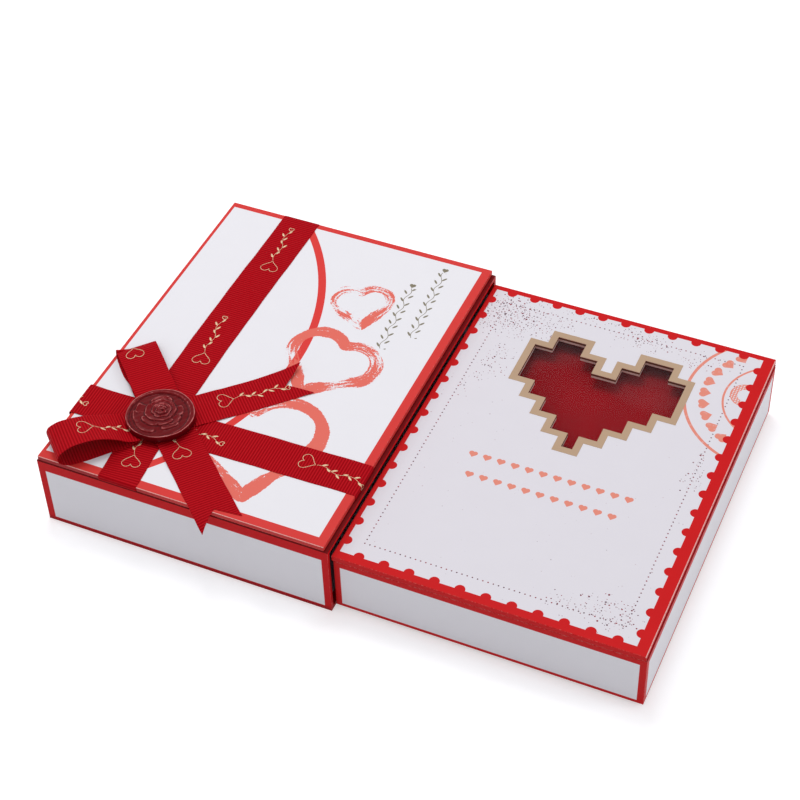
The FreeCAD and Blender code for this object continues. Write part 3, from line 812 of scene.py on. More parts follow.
class Strap:
    """A length of ribbon along a smooth line. Stations are (along, side, height, roll), seen from
    an origin, in a plan direction; roll tips the ribbon about its own line, in degrees."""

    def __init__(self, stations, origin, degrees):
        heading = math.radians(degrees)
        self.forward = np.array((math.cos(heading), math.sin(heading), 0.0))
        self.left = np.array((-math.sin(heading), math.cos(heading), 0.0))
        self.origin = np.array((origin[0], origin[1], 0.0))
        dense = self.smoothed(np.array(stations, float))
        line = self.origin + np.outer(dense[:, 0], self.forward)
        line = line + np.outer(dense[:, 1], self.left)
        line[:, 2] += dense[:, 2]
        gaps = np.linalg.norm(np.diff(line, axis=0), axis=1)
        self.way = np.concatenate([[0.0], np.cumsum(gaps)])
        self.line = line
        self.roll = dense[:, 3]
        self.length = float(self.way[-1])

    def smoothed(self, stations, steps=24):
        """A curve through the stations, with no overshoot between stations at one height."""
        gaps = np.linalg.norm(np.diff(stations[:, :3], axis=0), axis=1)
        slopes = np.zeros_like(stations)
        secants = np.diff(stations, axis=0) / gaps[:, None]
        slopes[0] = secants[0]
        slopes[-1] = secants[-1]
        before = gaps[:-1, None]
        after = gaps[1:, None]
        slopes[1:-1] = (secants[:-1] * after + secants[1:] * before) / (before + after)
        level = secants[:-1, 2] * secants[1:, 2] <= 0
        slopes[1:-1, 2][level] = 0.0
        dense = []
        for index in range(len(gaps)):
            t = np.linspace(0, 1, steps, endpoint=False)[:, None]
            a = stations[index]
            b = stations[index + 1]
            m = slopes[index] * gaps[index]
            n = slopes[index + 1] * gaps[index]
            dense.append(
                (2 * t**3 - 3 * t**2 + 1) * a
                + (t**3 - 2 * t**2 + t) * m
                + (3 * t**2 - 2 * t**3) * b
                + (t**3 - t**2) * n
            )
        dense.append(stations[-1:])
        return np.vstack(dense)

    def at(self, distance):
        """Places, ways along, ways across and ways up at distances along the ribbon."""
        distance = np.asarray(distance, float)
        step = 0.25

        def place(s):
            return np.stack([np.interp(s, self.way, self.line[:, k]) for k in range(3)], -1)

        low = np.clip(distance - step, 0, self.length)
        high = np.clip(distance + step, 0, self.length)
        along = place(high) - place(low)
        along /= np.linalg.norm(along, axis=-1, keepdims=True)
        flat = self.left - along * (along @ self.left)[..., None]
        flat /= np.linalg.norm(flat, axis=-1, keepdims=True)
        up = np.cross(along, flat)
        roll = np.radians(np.interp(distance, self.way, self.roll))[..., None]
        across = flat * np.cos(roll) + up * np.sin(roll)
        up = up * np.cos(roll) - flat * np.sin(roll)
        return place(distance), along, across, up

    def surface(self, distance, across, side, lift=0.0):
        """Points on the ribbon's face: side is 1 for the face that is up as it sets out."""
        distance = np.asarray(distance, float)
        across = np.asarray(across, float)
        place, _, sideways, up = self.at(distance)
        edge = np.clip((RIBBON_WIDTH / 2 - np.abs(across)) / SELVEDGE, 0, 1)
        rib = np.abs(np.sin(math.pi * distance / RIB_PITCH)) ** 0.75
        if lift:
            rib = np.ones_like(rib)
        height = RIBBON_THICK / 2 - RIB_HEIGHT + RIB_HEIGHT * (rib * edge + 0.75 * (1 - edge))
        offset = side * (height * (0.55 + 0.45 * edge) + lift)
        return place + sideways * across[..., None] + up * offset[..., None]


def make_ribbon(name, strap, replaced, end_shape=None):
    """The ribbon as a closed ribbed sheet. end_shape gives how far short each place across ends."""
    count = int(strap.length / RIB_PITCH * RIB_STEPS)
    ways = np.linspace(0, strap.length, count + 1)
    across = np.array(ACROSS)
    distance = np.repeat(ways[:, None], len(across), axis=1)
    if end_shape is not None:
        short = np.array([end_shape(value) for value in across])
        start = strap.length - 2.5 * short.max()
        share = np.clip((distance - start) / (strap.length - start), 0, 1)
        distance = distance - share * short[None, :]
    waver = 0.07 * np.sin(distance / 7.3 + strap.length) + 0.05 * np.sin(distance / 2.9)
    sideways = across[None, :] + waver
    faces = closed_sheet(*distance.shape)
    flat = np.broadcast_to(across[None, :], distance.shape)
    upper = strap.surface(distance, sideways, 1)
    lower = strap.surface(distance, sideways, -1)
    points = np.concatenate([upper.reshape(-1, 3), lower.reshape(-1, 3)])
    cut = np.stack([distance.ravel(), flat.ravel()], -1)
    obj = make_piece(name, points, faces, "case", RIBBON, cut=np.concatenate([cut, cut]))
    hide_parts(replaced)
    return obj


def swallow_tail(notch, short_left=0.0, short_right=0.0):
    """An end cut to two points: how far short of its length the ribbon ends at each place across."""
    half = RIBBON_WIDTH / 2

    def short(across):
        share = abs(across) / half
        point = short_left if across > 0 else short_right
        return notch * (1 - share) + point * share

    return short


# Gilt ornament on the ribbons: a heart drawn in outline on a wavy stem with leaves
GILT_WIDTH = 0.2
GILT_LIFT = 0.004
GILT_THICK = 0.03
GILT_STEP = 0.15
GILT_TAPER = 0.6
GILT_FROM_END = 0.8
GILT_LEAST_POINTS = 8
STEM_START = -8.6
STEM_END = 14.5
STEM_WAVE = 14.0
STEM_SWING = 0.9
LEAF_LENGTH = 3.1
LEAF_LEAN = 42
LEAF_BOW = 0.5
LEAF_PLACES = np.arange(-6.2, 13.0, 2.7)


def heart_line(length, width):
    """The outline of a heart that lies along x, with its point at 0, 0 and its lobes behind."""
    turn = np.linspace(math.pi, 3 * math.pi, 90)
    across = np.sin(turn) ** 3
    along = 13 * np.cos(turn) - 5 * np.cos(2 * turn) - 2 * np.cos(3 * turn) - np.cos(4 * turn)
    return np.stack([-(along + 17) / 29 * length, across * width / 2], -1)


def stem_sway(u):
    return STEM_SWING * np.sin((u - STEM_START) * 2 * math.pi / STEM_WAVE)


def ornament_lines():
    """Lines (points, width at each point) of one ornament about its middle."""
    heart = heart_line(7.6, 8.4) + (STEM_START, 0.0)
    u = np.linspace(STEM_START, STEM_END, 150)
    stem = np.stack([u, stem_sway(u)], -1)
    bud = heart_line(-2.6, 2.6) + (STEM_END, stem_sway(STEM_END))
    lines = [(heart, np.full(len(heart), GILT_WIDTH)), (stem, np.full(len(stem), GILT_WIDTH * 0.9))]
    lines.append((bud, np.full(len(bud), GILT_WIDTH * 1.2)))
    share = np.linspace(0, 1, 40)
    side = 1
    for at in LEAF_PLACES:
        lean = side * math.radians(LEAF_LEAN)
        root = stem_sway(at)
        along = LEAF_LENGTH * share
        bow = LEAF_BOW * side * share * share
        leaf_u = at + along * math.cos(lean) + bow * math.sin(lean)
        leaf_v = root + along * math.sin(lean) - bow * math.cos(lean)
        lines.append((np.stack([leaf_u, leaf_v], -1), 0.1 + 0.75 * np.sin(math.pi * share) ** 0.8))
        side = -side
    return lines


def gild(name, strap, middle, side, across=0.0, turn=0.0):
    """The ornament laid on a ribbon's ribs as a thin gilt line, cut off at the ribbon's ends."""
    points = []
    faces = []
    c = math.cos(math.radians(turn))
    s = math.sin(math.radians(turn))
    for line, width in ornament_lines():
        spaced = np.concatenate([[0.0], np.cumsum(np.linalg.norm(np.diff(line, axis=0), axis=1))])
        where = np.linspace(0, spaced[-1], int(spaced[-1] / GILT_STEP))
        u = np.interp(where, spaced, line[:, 0])
        v = np.interp(where, spaced, line[:, 1])
        wide = np.interp(where, spaced, width)
        u, v = u * c - v * s, u * s + v * c
        inside = (middle + u > GILT_FROM_END) & (middle + u < strap.length - GILT_FROM_END)
        if inside.sum() < GILT_LEAST_POINTS:
            continue
        first = int(np.argmax(inside))
        last = len(inside) - int(np.argmax(inside[::-1]))
        where, u, v, wide = [values[first:last] for values in (where, u, v, wide)]
        count = len(u)
        du = np.gradient(u)
        dv = np.gradient(v)
        size = np.hypot(du, dv)
        from_end = np.minimum(where - where[0], where[-1] - where)
        taper = np.clip(from_end / GILT_TAPER, 0.35, 1.0)
        half = wide / 2 * taper * (0.9 + 0.4 * np.abs(dv / size))
        base = len(points)
        for lift in (GILT_LIFT, GILT_LIFT + GILT_THICK):
            for way in (-1, 1):
                along = middle + u - way * half * dv / size
                sideways = across + v + way * half * du / size
                points.extend(strap.surface(along, sideways, side, lift))
        for k in range(count - 1):
            for a, b in ((0, 1), (1, 3), (3, 2), (2, 0)):
                start = base + a * count + k
                other = base + b * count + k
                faces.append((start, other, other + 1, start + 1))
        ends = [base + n * count for n in (0, 2, 3, 1)]
        faces.append(tuple(ends))
        faces.append(tuple(corner + count - 1 for corner in reversed(ends)))
    if side < 0:
        faces = [tuple(reversed(face)) for face in faces]
    obj = make_piece(name, points, faces, "case", GILT_PRINT)
    return obj


TOP = cover_high.z
LAYER = RIBBON_THICK
HALF = RIBBON_THICK / 2
RIBBON_GAP = 0.06


def flat_straps():
    """The two ribbons pulled round the panel, tucked under its edge at both ends."""
    tuck = case_high.z + HALF
    near = cover_low.y - HALF
    far = cover_high.y + HALF
    height = TOP + HALF
    long_way = [
        (near, -1.9, tuck, 0),
        (near, -1.9, height - 0.9, 0),
        (near + 0.25, -1.9, height - 0.2, 0),
        (near + 1.0, -1.9, height, 0),
        (near + 16, -0.6, height, 0),
        (KNOT.y, 0.4, height, 0),
        (KNOT.y + 30, 1.1, height, 0),
        (20.0, 1.3, height, 0),
        (70.0, 0.7, height, 0),
        (far - 1.0, 0.4, height, 0),
        (far - 0.25, 0.4, height - 0.2, 0),
        (far, 0.4, height - 0.9, 0),
        (far, 0.4, tuck, 0),
    ]
    left = cover_low.x - HALF
    right = cover_high.x + HALF
    over = height + LAYER + 0.02
    rise = LONG_RIBBON_X - RIBBON_WIDTH / 2 - 0.4
    fall = LONG_RIBBON_X + RIBBON_WIDTH / 2 + 0.4
    cross_way = [
        (left - 0.5, -1.3, tuck, 0),
        (left - 0.95, -1.3, height - 1.1, 0),
        (left - 0.6, -1.3, height - 0.1, 0),
        (left + 0.8, -1.3, height + 0.3, 0),
        (left + 6.0, -1.2, height + 0.1, 0),
        (rise - 2.5, -0.8, height, 0),
        (rise, -0.7, over, 0),
        (fall, -0.3, over, 0),
        (fall + 2.5, -0.3, height, 0),
        (30.0, 0.5, height, 0),
        (right - 1.0, 1.1, height, 0),
        (right - 0.25, 1.1, height - 0.2, 0),
        (right, 1.1, height - 0.9, 0),
        (right, 1.1, tuck, 0),
    ]
    long_strap = Strap(long_way, (LONG_RIBBON_X, 0.0), 90)
    cross_strap = Strap(cross_way, (0.0, CROSS_RIBBON_Y), 0)
    return long_strap, cross_strap


def bow_straps():
    """The two loops and two tails that start under the seal."""
    panel = TOP + HALF + RIBBON_GAP
    ribbon = panel + LAYER
    stack = TOP + 4.5 * LAYER
    back = [
        (-4.0, 0, stack, 0),
        (12.0, 0, stack, 0),
        (18.5, 0, ribbon, 0),
        (27.0, 0, ribbon, 0),
        (32.0, 0.7, panel, 0),
        (40.0, 0.7, panel, 0),
        (45.3, 0.4, panel, 1),
        (46.8, 0.2, panel + 0.7, 1.5),
        (47.1, 0, panel + 1.5, 1.5),
        (46.7, 0, panel + 2.3, 1.5),
        (45.2, 0, panel + 2.9, 1.5),
        (36.0, 0, panel + 3.3, 1),
        (26.0, 0, panel + 2.9, 0),
        (17.0, 0, stack + LAYER + 0.9, 0),
        (12.0, 0, stack + LAYER + 0.05, 0),
        (-4.0, 0, stack + LAYER + 0.05, 0),
    ]
    stack = TOP + 6.5 * LAYER + 0.05
    front = [
        (-4.0, 0, stack, 0),
        (12.0, 0, stack, 0),
        (19.0, 0, ribbon + 0.1, 0),
        (27.0, 0, ribbon + 0.05, 0),
        (33.0, 0, panel, 0),
        (43.0, 0, panel + 0.1, 0),
        (48.0, 0, panel + 1.4, 0),
        (50.2, 0, panel + 4.1, 0),
        (49.5, 0, panel + 7.1, -1),
        (46.0, 0, panel + 9.3, -3),
        (39.5, 0, panel + 10.1, -6),
        (32.0, 0, panel + 9.3, -7),
        (24.0, 0, panel + 6.2, -5),
        (17.5, 0, stack + LAYER + 1.0, 0),
        (12.0, 0, stack + LAYER + 0.05, 0),
        (-4.0, 0, stack + LAYER + 0.05, 0),
    ]
    cross = TOP + 2.5 * LAYER
    right = [
        (-4.0, 0, cross, 0),
        (16.0, 0, cross + 0.05, 0),
        (20.0, 0, ribbon, 0),
        (27.0, 0, ribbon, 0),
        (32.0, 0, panel, 0),
        (46.0, 0, panel + 0.05, 0),
        (60.0, 0, panel + 0.5, 3),
        (69.3, 0, panel + 1.6, 7),
    ]
    return (
        Strap(back, KNOT + Vector((0.2, 3.4, 0)), 135.8),
        Strap(front, KNOT, 226.5),
        Strap(right, KNOT, 44.8),
        Strap(front_tail_way(), KNOT + Vector((1.5, 1.8, 0)), -41.8),
    )


DROOP_RADIUS = 16.0
FRONT_TAIL_REACH = 69.0


def front_tail_way():
    """The front tail's stations on its middle line."""
    panel = TOP + HALF + RIBBON_GAP
    stack = TOP + 3.5 * LAYER
    return [
        (-4.0, 0, stack, 0),
        (12.0, 0, stack, 0),
        (18.5, 0, panel + LAYER, 0),
        (27.0, 0, panel + LAYER, 0),
        (32.0, 0, panel, 0),
        (50.0, 0, panel, 0),
        (FRONT_TAIL_REACH, 0, panel, 0),
    ]


def droop(points):
    """What reaches past the panel's front edge bends down round it."""
    edge = cover_low.y - 0.15
    centre = TOP - DROOP_RADIUS
    bent = points.copy()
    past = np.maximum(edge - points[:, 1], 0)
    angle = past / DROOP_RADIUS
    radius = points[:, 2] - centre
    over = past > 0
    bent[over, 1] = edge - radius[over] * np.sin(angle[over])
    bent[over, 2] = centre + radius[over] * np.cos(angle[over])
    return bent


def bend_over_edge(obj):
    count = len(obj.data.vertices)
    flat = np.zeros(count * 3, np.float32)
    obj.data.vertices.foreach_get("co", flat)
    bent = droop(flat.reshape(-1, 3).astype(float) / MM) * MM
    obj.data.vertices.foreach_set("co", bent.astype(np.float32).ravel())
    obj.data.update()


def make_bow():
    long_strap, cross_strap = flat_straps()
    back, front, right, low = bow_straps()
    make_ribbon("long_ribbon", long_strap, "ribbon_long")
    make_ribbon("cross_ribbon", cross_strap, "ribbon_cross")
    make_ribbon("back_loop", back, "bow_loop_back")
    make_ribbon("front_loop", front, "bow_loop_front")
    right_end = swallow_tail(10.5, 0.0, 0.4)
    make_ribbon("right_tail", right, "bow_tail_right", right_end)
    front_end = swallow_tail(9.0)
    tail = make_ribbon(
        "front_tail", low, "bow_tail_front", front_end
    )
    bend_over_edge(tail)
    for number, middle in enumerate((28.0, 98.0, 168.0), 1):
        gild(f"gilt_on_long_ribbon_{number}", long_strap, middle, 1, 0.4, 7)
    for number, middle in enumerate((-9.0, 60.0, 129.0), 1):
        gild(f"gilt_on_cross_ribbon_{number}", cross_strap, middle, 1, 0.0, -6)
    gild("gilt_on_back_loop", back, 45.0, -1, 0.5, 186)
    gild("gilt_on_front_loop", front, front.length - 27.0, -1, 0.5, 8)
    gild("gilt_on_right_tail", right, 47.0, 1, 0.3, -5)
    gilt = gild("gilt_on_front_tail", low, 14.0, 1, 0.5, 172)
    bend_over_edge(gilt)


# Wax seal. Its middle is measured from the knot, the well's and the rose's from its middle.
SEAL_MIDDLE = (-0.1, -0.3)
SEAL_SIDES = 360
SEAL_RINGS = 122
SEAL_RADIUS = 15.4
SEAL_SINK = 0.2
SEAL_FLOOR = 2.3
SEAL_CREST = 3.2
CREST_AT = 0.982
WELL_MIDDLE = (-0.45, -0.75)
WELL_RADIUS = 14.4
ROSE_MIDDLE = (-0.5, 1.8)
BUD_MIDDLE = (0.7, 0.0)
PETALS = (
    # lip radius, first angle, last angle, curl of its ends, height, how full it is behind the lip
    (2.3, 35, 225, 0.0, 1.3, 0.7),
    (2.6, 215, 380, 0.0, 1.25, 0.7),
    (4.4, -15, 140, 0.05, 1.15, 0.7),
    (4.1, 120, 262, 0.05, 1.15, 0.7),
    (4.5, 250, 352, 0.05, 1.1, 0.7),
    (6.6, 45, 176, 0.06, 1.0, 0.65),
    (7.1, 165, 276, 0.04, 1.0, 0.65),
    (6.5, 262, 350, 0.06, 0.95, 0.65),
    (6.5, -16, 55, 0.06, 1.0, 0.65),
    (9.7, 226, 288, 0.1, 0.8, 0.55),
    (8.8, 280, 340, 0.08, 0.8, 0.55),
    (8.9, 78, 155, 0.14, 0.75, 0.45),
    (10.3, 318, 364, 0.1, 0.62, 0.4),
    (11.6, 298, 342, 0.06, 0.52, 0.4),
    (9.8, 4, 46, 0.12, 0.58, 0.45),
    (11.6, 176, 208, 0.05, 0.72, 0.4),
    (12.7, 200, 240, 0.03, 0.62, 0.35),
    (13.6, 232, 284, 0.07, 0.55, 0.35),
)


def petal_lip(x, y, petal):
    """Height of one petal: a lip that drops off sharply outside and slopes gently inside."""
    radius, first, last, curl, height, full = petal
    middle = math.radians((first + last) / 2)
    half = math.radians((last - first) / 2)
    turn = np.angle(np.exp(1j * (np.arctan2(y, x) - middle)))
    share = np.abs(turn) / half
    lip = radius * (1 - curl * np.clip(share, 0, 1.2) ** 4)
    lip = lip + 0.14 * np.sin(turn * 6 + radius) + 0.06 * np.sin(turn * 11 + 2 * radius)
    away = np.hypot(x, y) - lip
    inside = full + (1 - full) * np.exp(-((away / 0.9) ** 2))
    outside = np.exp(-((away / 0.42) ** 2))
    fade = np.clip((1.08 - share) / 0.2, 0, 1)
    fade = fade * fade * (3 - 2 * fade)
    wave = 1 + 0.012 * radius * np.sin(turn * 7 + 3 * radius)
    return height * wave * fade * np.where(away > 0, outside, inside)


def seal_height(x, y):
    """The wax's upper face, from the middle out to the rim's crest."""
    inset = WELL_RADIUS - np.hypot(x - WELL_MIDDLE[0], y - WELL_MIDDLE[1])
    climb = np.clip(1 - inset / 1.3, 0, 1)
    climb = climb * climb * (3 - 2 * climb)
    rim = SEAL_FLOOR + (SEAL_CREST - SEAL_FLOOR) * climb
    u = x - ROSE_MIDDLE[0]
    v = y - ROSE_MIDDLE[1]
    rose = np.hypot(u, v)
    dome = 0.3 * np.clip(1 - (rose / 12.5) ** 2, 0, 1)
    relief = np.zeros_like(x)
    for petal in PETALS:
        relief = np.maximum(relief, petal_lip(u, v, petal))
    relief = relief * np.clip(inset / 0.5 + 1, 0, 1)
    u = u - BUD_MIDDLE[0]
    v = v - BUD_MIDDLE[1]
    bud = np.hypot(u, v)
    relief = relief - 0.75 * np.exp(-((bud / 0.45) ** 2))
    swell = 1 + 0.5 * np.cos(2 * np.arctan2(v, u))
    relief = relief + 0.3 * np.exp(-(((bud - 1.0) / 0.3) ** 2)) * swell
    lumps = 0.04 * np.sin(x * 0.9 + 1.0) * np.sin(y * 1.1) + 0.02 * np.sin(x * 2.3 - y * 1.7)
    return rim + dome + relief + lumps


# The seal's side, from the crest down: share of the radius, height above the foot
SEAL_WALL = (
    (0.99, SEAL_CREST - 0.04),
    (0.996, SEAL_CREST - 0.13),
    (1.0, SEAL_CREST - 0.3),
    (1.003, SEAL_CREST - 0.7),
    (1.007, 2.0),
    (1.014, 1.3),
    (1.02, 0.7),
    (1.02, 0.35),
    (1.012, 0.12),
    (0.997, 0.0),
)
CREST_RINGS = 3
BLUR_AROUND = 6
BLUR_OUTWARDS = 5


def make_seal():
    """The wax as rings of points, with an attribute that is high on the petals' lips."""
    sides = SEAL_SIDES
    middle_x = KNOT.x + SEAL_MIDDLE[0]
    middle_y = KNOT.y + SEAL_MIDDLE[1]
    base = SEAL_FOOT - SEAL_SINK
    turn = np.linspace(0, 2 * math.pi, sides, endpoint=False)
    outline = 1 + 0.01 * np.sin(2 * turn + 1.0) + 0.009 * np.sin(3 * turn + 2.1)
    outline += 0.005 * np.sin(5 * turn + 0.4) + 0.003 * np.sin(9 * turn)
    middle = np.zeros(1)
    points = [(middle_x, middle_y, base + float(seal_height(middle, middle)[0]))]
    rings = []
    sag = 0.08 * np.sin(2 * turn + 0.6) + 0.05 * np.sin(5 * turn)
    for share in np.linspace(0.008, CREST_AT, SEAL_RINGS):
        radius = SEAL_RADIUS * outline * share
        x = radius * np.cos(turn)
        y = radius * np.sin(turn)
        rings.append((x, y, seal_height(x, y) + sag * share**6))
    for share, height in SEAL_WALL:
        radius = SEAL_RADIUS * outline * share
        level = height + sag * height / SEAL_CREST
        rings.append((radius * np.cos(turn), radius * np.sin(turn), level))
    for x, y, z in rings:
        points.extend(zip(middle_x + x, middle_y + y, base + z))
    faces = []
    for k in range(sides):
        after = (k + 1) % sides
        faces.append((0, 1 + k, 1 + after))
        for ring in range(len(rings) - 1):
            a = 1 + ring * sides
            b = a + sides
            faces.append((a + k, b + k, b + after, a + after))
    last = 1 + (len(rings) - 1) * sides
    faces.append(tuple(last + k for k in reversed(range(sides))))
    seal = make_piece("wax_rose_seal", points, faces, "case", WAX)
    heights = np.array([z for x, y, z in rings])
    around = range(-BLUR_AROUND, BLUR_AROUND + 1)
    blurred = sum(np.roll(heights, step, axis=1) for step in around) / len(around)
    padded = np.pad(blurred, ((BLUR_OUTWARDS, BLUR_OUTWARDS), (0, 0)), mode="edge")
    outwards = range(2 * BLUR_OUTWARDS + 1)
    blurred = sum(padded[step : step + len(heights)] for step in outwards) / len(outwards)
    raised = heights - blurred
    below = len(SEAL_WALL) - 1
    raised[-below:] = 0.0
    # The crest rings get the top value of the attribute, which paints a pale highlight line along
    # the crest.
    raised[-below - CREST_RINGS : -below] = 1.0
    layer = seal.data.attributes.new("lip", "FLOAT", "POINT")
    layer.data.foreach_set("value", np.concatenate([[0.0], raised.ravel()]).astype(np.float32))
    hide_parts("wax_seal")


# Padded insert. A slit's depth is measured from the pad's face.
SLIT_WIDTH = 2.2
SLIT_DEPTH = 4.6
SLIT_PINCH = 0.5
PINCH_REACH = 3.0
RING_SLIT_LENGTH = 26.0
RING_SLIT_FROM_FRONT = 62.0
CHAIN_SLIT_LENGTH = 9.0
CHAIN_SLIT_FROM_BACK = 14.0
CHAIN_SLIT_SPREAD = 44.0
PAD_ROLL = 2.8
PAD_ROLL_DROP = 2.2
PAD_CROWN = 0.55
PAD_SINK = 0.5
PAD_GRID = 2.5


def make_insert():
    """A velvet-covered foam pad with a crown, rolled edges and pinched slits."""
    low, high = box_mm("insert_cover")
    middle_x = (low.x + high.x) / 2
    ring_y = low.y + RING_SLIT_FROM_FRONT
    chain_y = high.y - CHAIN_SLIT_FROM_BACK
    slits = [(middle_x, ring_y, RING_SLIT_LENGTH / 2, 0.0)]
    for side in (-1, 1):
        slits.append((middle_x + side * CHAIN_SLIT_SPREAD, chain_y, 0.0, CHAIN_SLIT_LENGTH / 2))
    fine = np.array((-3.0, -2.0, -1.4, -1.0, -0.7, -0.4, 0.0, 0.4, 0.7, 1.0, 1.4, 2.0, 3.0))
    edge = np.array((0.0, 0.12, 0.35, 0.7, 1.2, 1.9, 2.8, 4.0))
    xs = [low.x + edge, high.x - edge, np.arange(low.x + 6, high.x - 5, PAD_GRID)]
    ys = [low.y + edge, high.y - edge, np.arange(low.y + 6, high.y - 5, PAD_GRID)]
    for x, y, half_x, half_y in slits:
        xs.append(x + fine + np.sign(fine) * half_x)
        ys.append(y + fine + np.sign(fine) * half_y)
    xs = np.unique(np.round(np.concatenate(xs), 3))
    ys = np.unique(np.round(np.concatenate(ys), 3))
    grid_x, grid_y = np.meshgrid(xs, ys, indexing="ij")
    inset = np.minimum.reduce([grid_x - low.x, high.x - grid_x, grid_y - low.y, high.y - grid_y])
    roll = np.clip(inset / PAD_ROLL, 0, 1)
    top = high.z - PAD_ROLL_DROP * (1 - np.sqrt(np.clip(1 - (1 - roll) ** 2, 0, 1)))
    crown = np.sin(math.pi * (grid_x - low.x) / (high.x - low.x))
    crown = crown * np.sin(math.pi * (grid_y - low.y) / (high.y - low.y))
    top = top + PAD_CROWN * crown - PAD_SINK
    for x, y, half_x, half_y in slits:
        away_x = np.maximum(np.abs(grid_x - x) - half_x, 0)
        away_y = np.maximum(np.abs(grid_y - y) - half_y, 0)
        away = np.hypot(away_x, away_y)
        top = top - SLIT_DEPTH * np.clip(1 - away / (SLIT_WIDTH / 2), 0, 1) ** 0.6
        top = top - SLIT_PINCH * np.exp(-((away / PINCH_REACH) ** 2))
    rows, columns = grid_x.shape
    upper = np.stack([grid_x, grid_y, top], -1).reshape(-1, 3)
    under = np.stack([grid_x, grid_y, np.full_like(top, low.z + 0.05)], -1).reshape(-1, 3)
    faces = [tuple(reversed(face)) for face in closed_sheet(rows, columns)]
    pad = make_piece("velvet_insert", np.concatenate([upper, under]), faces, "tray", VELVET)
    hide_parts("insert_cover", "insert_pad")


# Paper hinge
HINGE_THICK = 0.25
HINGE_DEPTH = 0.55
CREASE_HALF = 0.08
CREASE_STEP = 0.04


def make_hinge():
    """One strip of paper from the tray's outer wall to the lid, creased inwards at the joint."""
    tray_leaf_low, tray_leaf_high = box_mm("tray_hinge_strip")
    base = tray_leaf_low.z
    top = box_mm("lid_hinge_strip")[1].z
    middle = (base + top) / 2
    outer = tray_leaf_high.x - 0.02
    heights = np.concatenate([
        np.linspace(base, middle - CREASE_HALF - CREASE_STEP, 5),
        np.linspace(middle - CREASE_HALF, middle + CREASE_HALF, 3),
        np.linspace(middle + CREASE_HALF + CREASE_STEP, top, 5),
    ])
    lengths = np.linspace(tray_leaf_low.y, tray_leaf_high.y, 60)
    height, along = np.meshgrid(heights, lengths, indexing="ij")
    crease = np.clip(1 - np.abs(height - middle) / ((top - base) / 2), 0, 1)
    face = outer - HINGE_DEPTH * crease
    front = np.stack([face, along, height], -1).reshape(-1, 3)
    rear = np.stack([face - HINGE_THICK, along, height], -1).reshape(-1, 3)
    faces = closed_sheet(len(heights), len(lengths))
    strip = make_piece("hinge_paper", np.concatenate([front, rear]), faces, "tray", HINGE_PAPER)
    strip.parent = None
    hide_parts("tray_hinge_strip", "lid_hinge_strip")
    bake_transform(strip)


FILM_GAP = 0.02


def dress_nodes():
    """Give every CAD node its finish."""
    grey = card("grey_board", srgb(176, 168, 156), srgb(146, 138, 126))
    glue = dried_glue()
    finishes = {
        "case_wrap_paper": printed_case(),
        "case_base_paper": plain_paper("red_base_paper", CASE_RED),
        "case_liner_paper": plain_paper("liner_paper", srgb(190, 182, 192)),
        "cover_print_sheet": printed_cover(),
        "cover_glue_sheet": glue,
        "seal_glue_dot": glue,
        "tray_wrap_paper": printed_tray(),
        "tray_base_paper": plain_paper("tray_base_paper", TRAY_RED),
        "tray_collar": plain_paper("collar_paper", srgb(160, 14, 24)),
        "insert_platform": card("white_card", srgb(222, 218, 212), srgb(206, 200, 192)),
        "lid_print_sheet": printed_lid(),
        "lid_liner_paper": plain_paper("lid_liner_paper", srgb(228, 224, 230)),
        # The upper board is brown, and darker still: painted shade on its cut edge in the window.
        "lid_upper_board": card("shaded_brown_board", srgb(124, 84, 66), srgb(88, 56, 44)),
        "lid_lower_board": card("pinkish_board", srgb(232, 204, 196), srgb(206, 172, 164)),
        "window_gold_frame": gold_card(),
        "window_film": clear_film(),
    }
    # The wrap turns in over the tray's walls, so that their top edges are red.
    for wall in ("front", "back", "fore", "spine"):
        finishes[f"tray_{wall}_wall"] = HINGE_PAPER
    for name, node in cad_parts.items():
        material = finishes.get(name, grey)
        node.data.materials.clear()
        node.data.materials.append(material)
    # The film stands a hair off the board, so that their faces don't share one plane.
    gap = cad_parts["window_film"].modifiers.new("film_gap", "DISPLACE")
    gap.strength = -FILM_GAP * MM
    gap.mid_level = 0.0


# Stage, light and camera
FLOOR_LIFT = 0.47
FLOOR_REACH = 4000.0
FLOOR_DROP = 0.1
AMBIENT = 0.56
SKY = (0.955, 0.965, 1.0, 1.0)
WHITE = (1.0, 1.0, 1.0, 1.0)


def make_floor():
    finish = Finish("floor")
    place = finish.joined(*finish.place())
    grain = finish.noise(place, 0.02, 2.0)
    colour = finish.mix(srgb(221, 221, 223), srgb(224, 224, 226), grain)
    matt = finish.node("ShaderNodeBsdfDiffuse", None, {"Color": colour})
    lift = finish.mirrored_or_seen() * FLOOR_LIFT
    glow = finish.node("ShaderNodeEmission", None, {"Color": WHITE, "Strength": lift})
    both = finish.node("ShaderNodeAddShader", None, {0: matt.outputs[0], 1: glow.outputs[0]})
    finish.close(both.outputs[0])
    reach = FLOOR_REACH * MM
    level = -FLOOR_DROP * MM
    signs = ((-1, -1), (1, -1), (1, 1), (-1, 1))
    mesh = bpy.data.meshes.new("floor")
    mesh.from_pydata([(x * reach, y * reach, level) for x, y in signs], [], [(0, 1, 2, 3)])
    mesh.materials.append(finish.material)
    floor = add_object("floor", mesh)


def make_world():
    """An even pale sky that shows as white to the camera and in what mirrors it."""
    world = bpy.data.worlds.new("studio")
    bpy.context.scene.world = world
    finish = Finish("studio", world)
    sky = finish.node("ShaderNodeBackground", None, {"Color": SKY, "Strength": AMBIENT})
    white = finish.node("ShaderNodeBackground", None, {"Color": WHITE, "Strength": 1.0})
    share = finish.mirrored_or_seen()
    both = finish.node(
        "ShaderNodeMixShader", None, {0: share, 1: sky.outputs[0], 2: white.outputs[0]}
    )
    finish.close(both.outputs[0], "ShaderNodeOutputWorld")


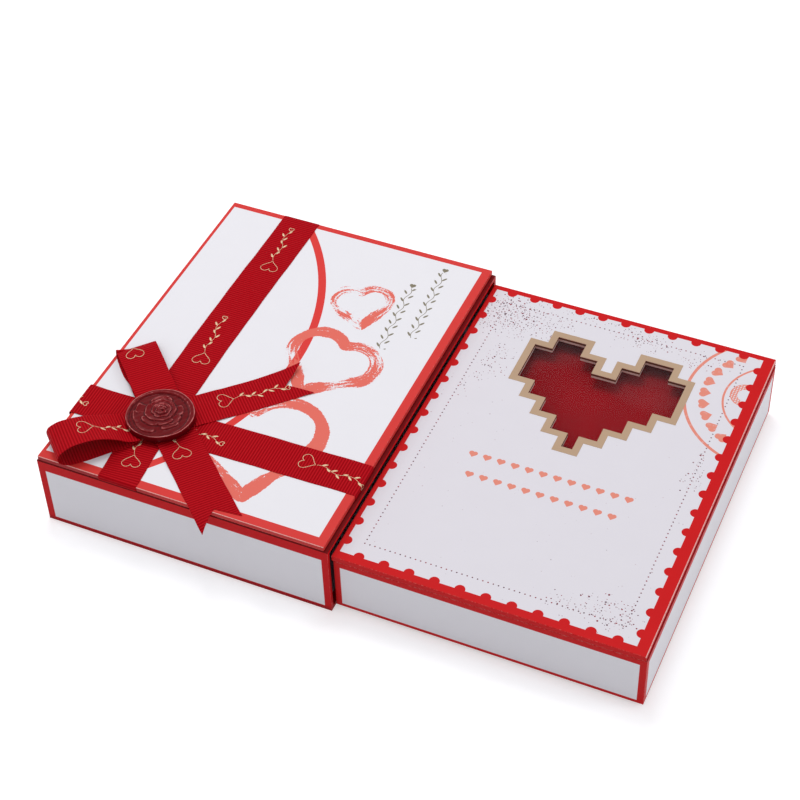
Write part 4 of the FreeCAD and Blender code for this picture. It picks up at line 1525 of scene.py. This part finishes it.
LAMPS = (
    # name, place in metres, size, power, what it points at
    ("overhead_softbox", (-0.15, 0.32, 1.3), (0.46, 0.34), 4.65, (0.05, 0.0, 0.0)),
    ("right_softbox", (1.15, 0.25, 0.75), (0.35, 0.35), 1.9, (0.08, 0.0, 0.02)),
    ("left_softbox", (-0.75, 0.08, 0.98), (0.2, 0.2), 1.3, (0.0, 0.0, 0.02)),
    ("left_spot", (-0.95, -0.02, 0.75), (0.06, 0.06), 0.6, (-0.03, -0.05, 0.05)),
    ("top_spot", (0.02, -0.02, 1.25), (0.06, 0.06), 0.4, (-0.03, -0.05, 0.05)),
    ("front_fill", (-0.35, -1.3, 0.5), (0.6, 0.5), 0.5, (0.05, 0.0, 0.02)),
)


def make_lamps():
    for name, place, size, power, target in LAMPS:
        lamp = bpy.data.lights.new(name, "AREA")
        lamp.shape = "RECTANGLE"
        lamp.size, lamp.size_y = size
        lamp.energy = power
        obj = add_object(name, lamp)
        obj.location = place
        aim = Vector(target) - Vector(place)
        obj.rotation_euler = aim.to_track_quat("-Z", "Y").to_euler()


# The camera's place is in millimetres and its angles are in degrees.
CAMERA_PLACE = Vector((330.4, -565.3, 660.5))
CAMERA_AZIMUTH = -25.34
CAMERA_TILT = 44.86
CAMERA_ROLL = -2.22
SENSOR = 36.0
LENS = 87.55


def make_camera():
    azimuth = math.radians(CAMERA_AZIMUTH)
    tilt = math.radians(CAMERA_TILT)
    roll = math.radians(CAMERA_ROLL)
    forward = Vector((
        math.sin(azimuth) * math.cos(tilt),
        math.cos(azimuth) * math.cos(tilt),
        -math.sin(tilt),
    ))
    level = Vector((math.cos(azimuth), -math.sin(azimuth), 0.0))
    upright = level.cross(forward)
    right = level * math.cos(roll) + upright * math.sin(roll)
    up = upright * math.cos(roll) - level * math.sin(roll)
    lens = bpy.data.cameras.new("camera")
    lens.sensor_width = SENSOR
    lens.lens = LENS
    camera = add_object("camera", lens)
    turn = Matrix((right, up, -forward)).transposed().to_4x4()
    camera.matrix_world = Matrix.Translation(CAMERA_PLACE * MM) @ turn
    bpy.context.scene.camera = camera
    bpy.context.scene.view_settings.view_transform = "Standard"


RIBBON = grosgrain()
GILT_PRINT = gilt_print()
WAX = sealing_wax()
VELVET = velvet()
HINGE_PAPER = plain_paper("hinge_paper", srgb(176, 16, 22))

dress_nodes()
make_bow()
make_seal()
make_insert()
make_hinge()
make_floor()
make_world()
make_lamps()
make_camera()
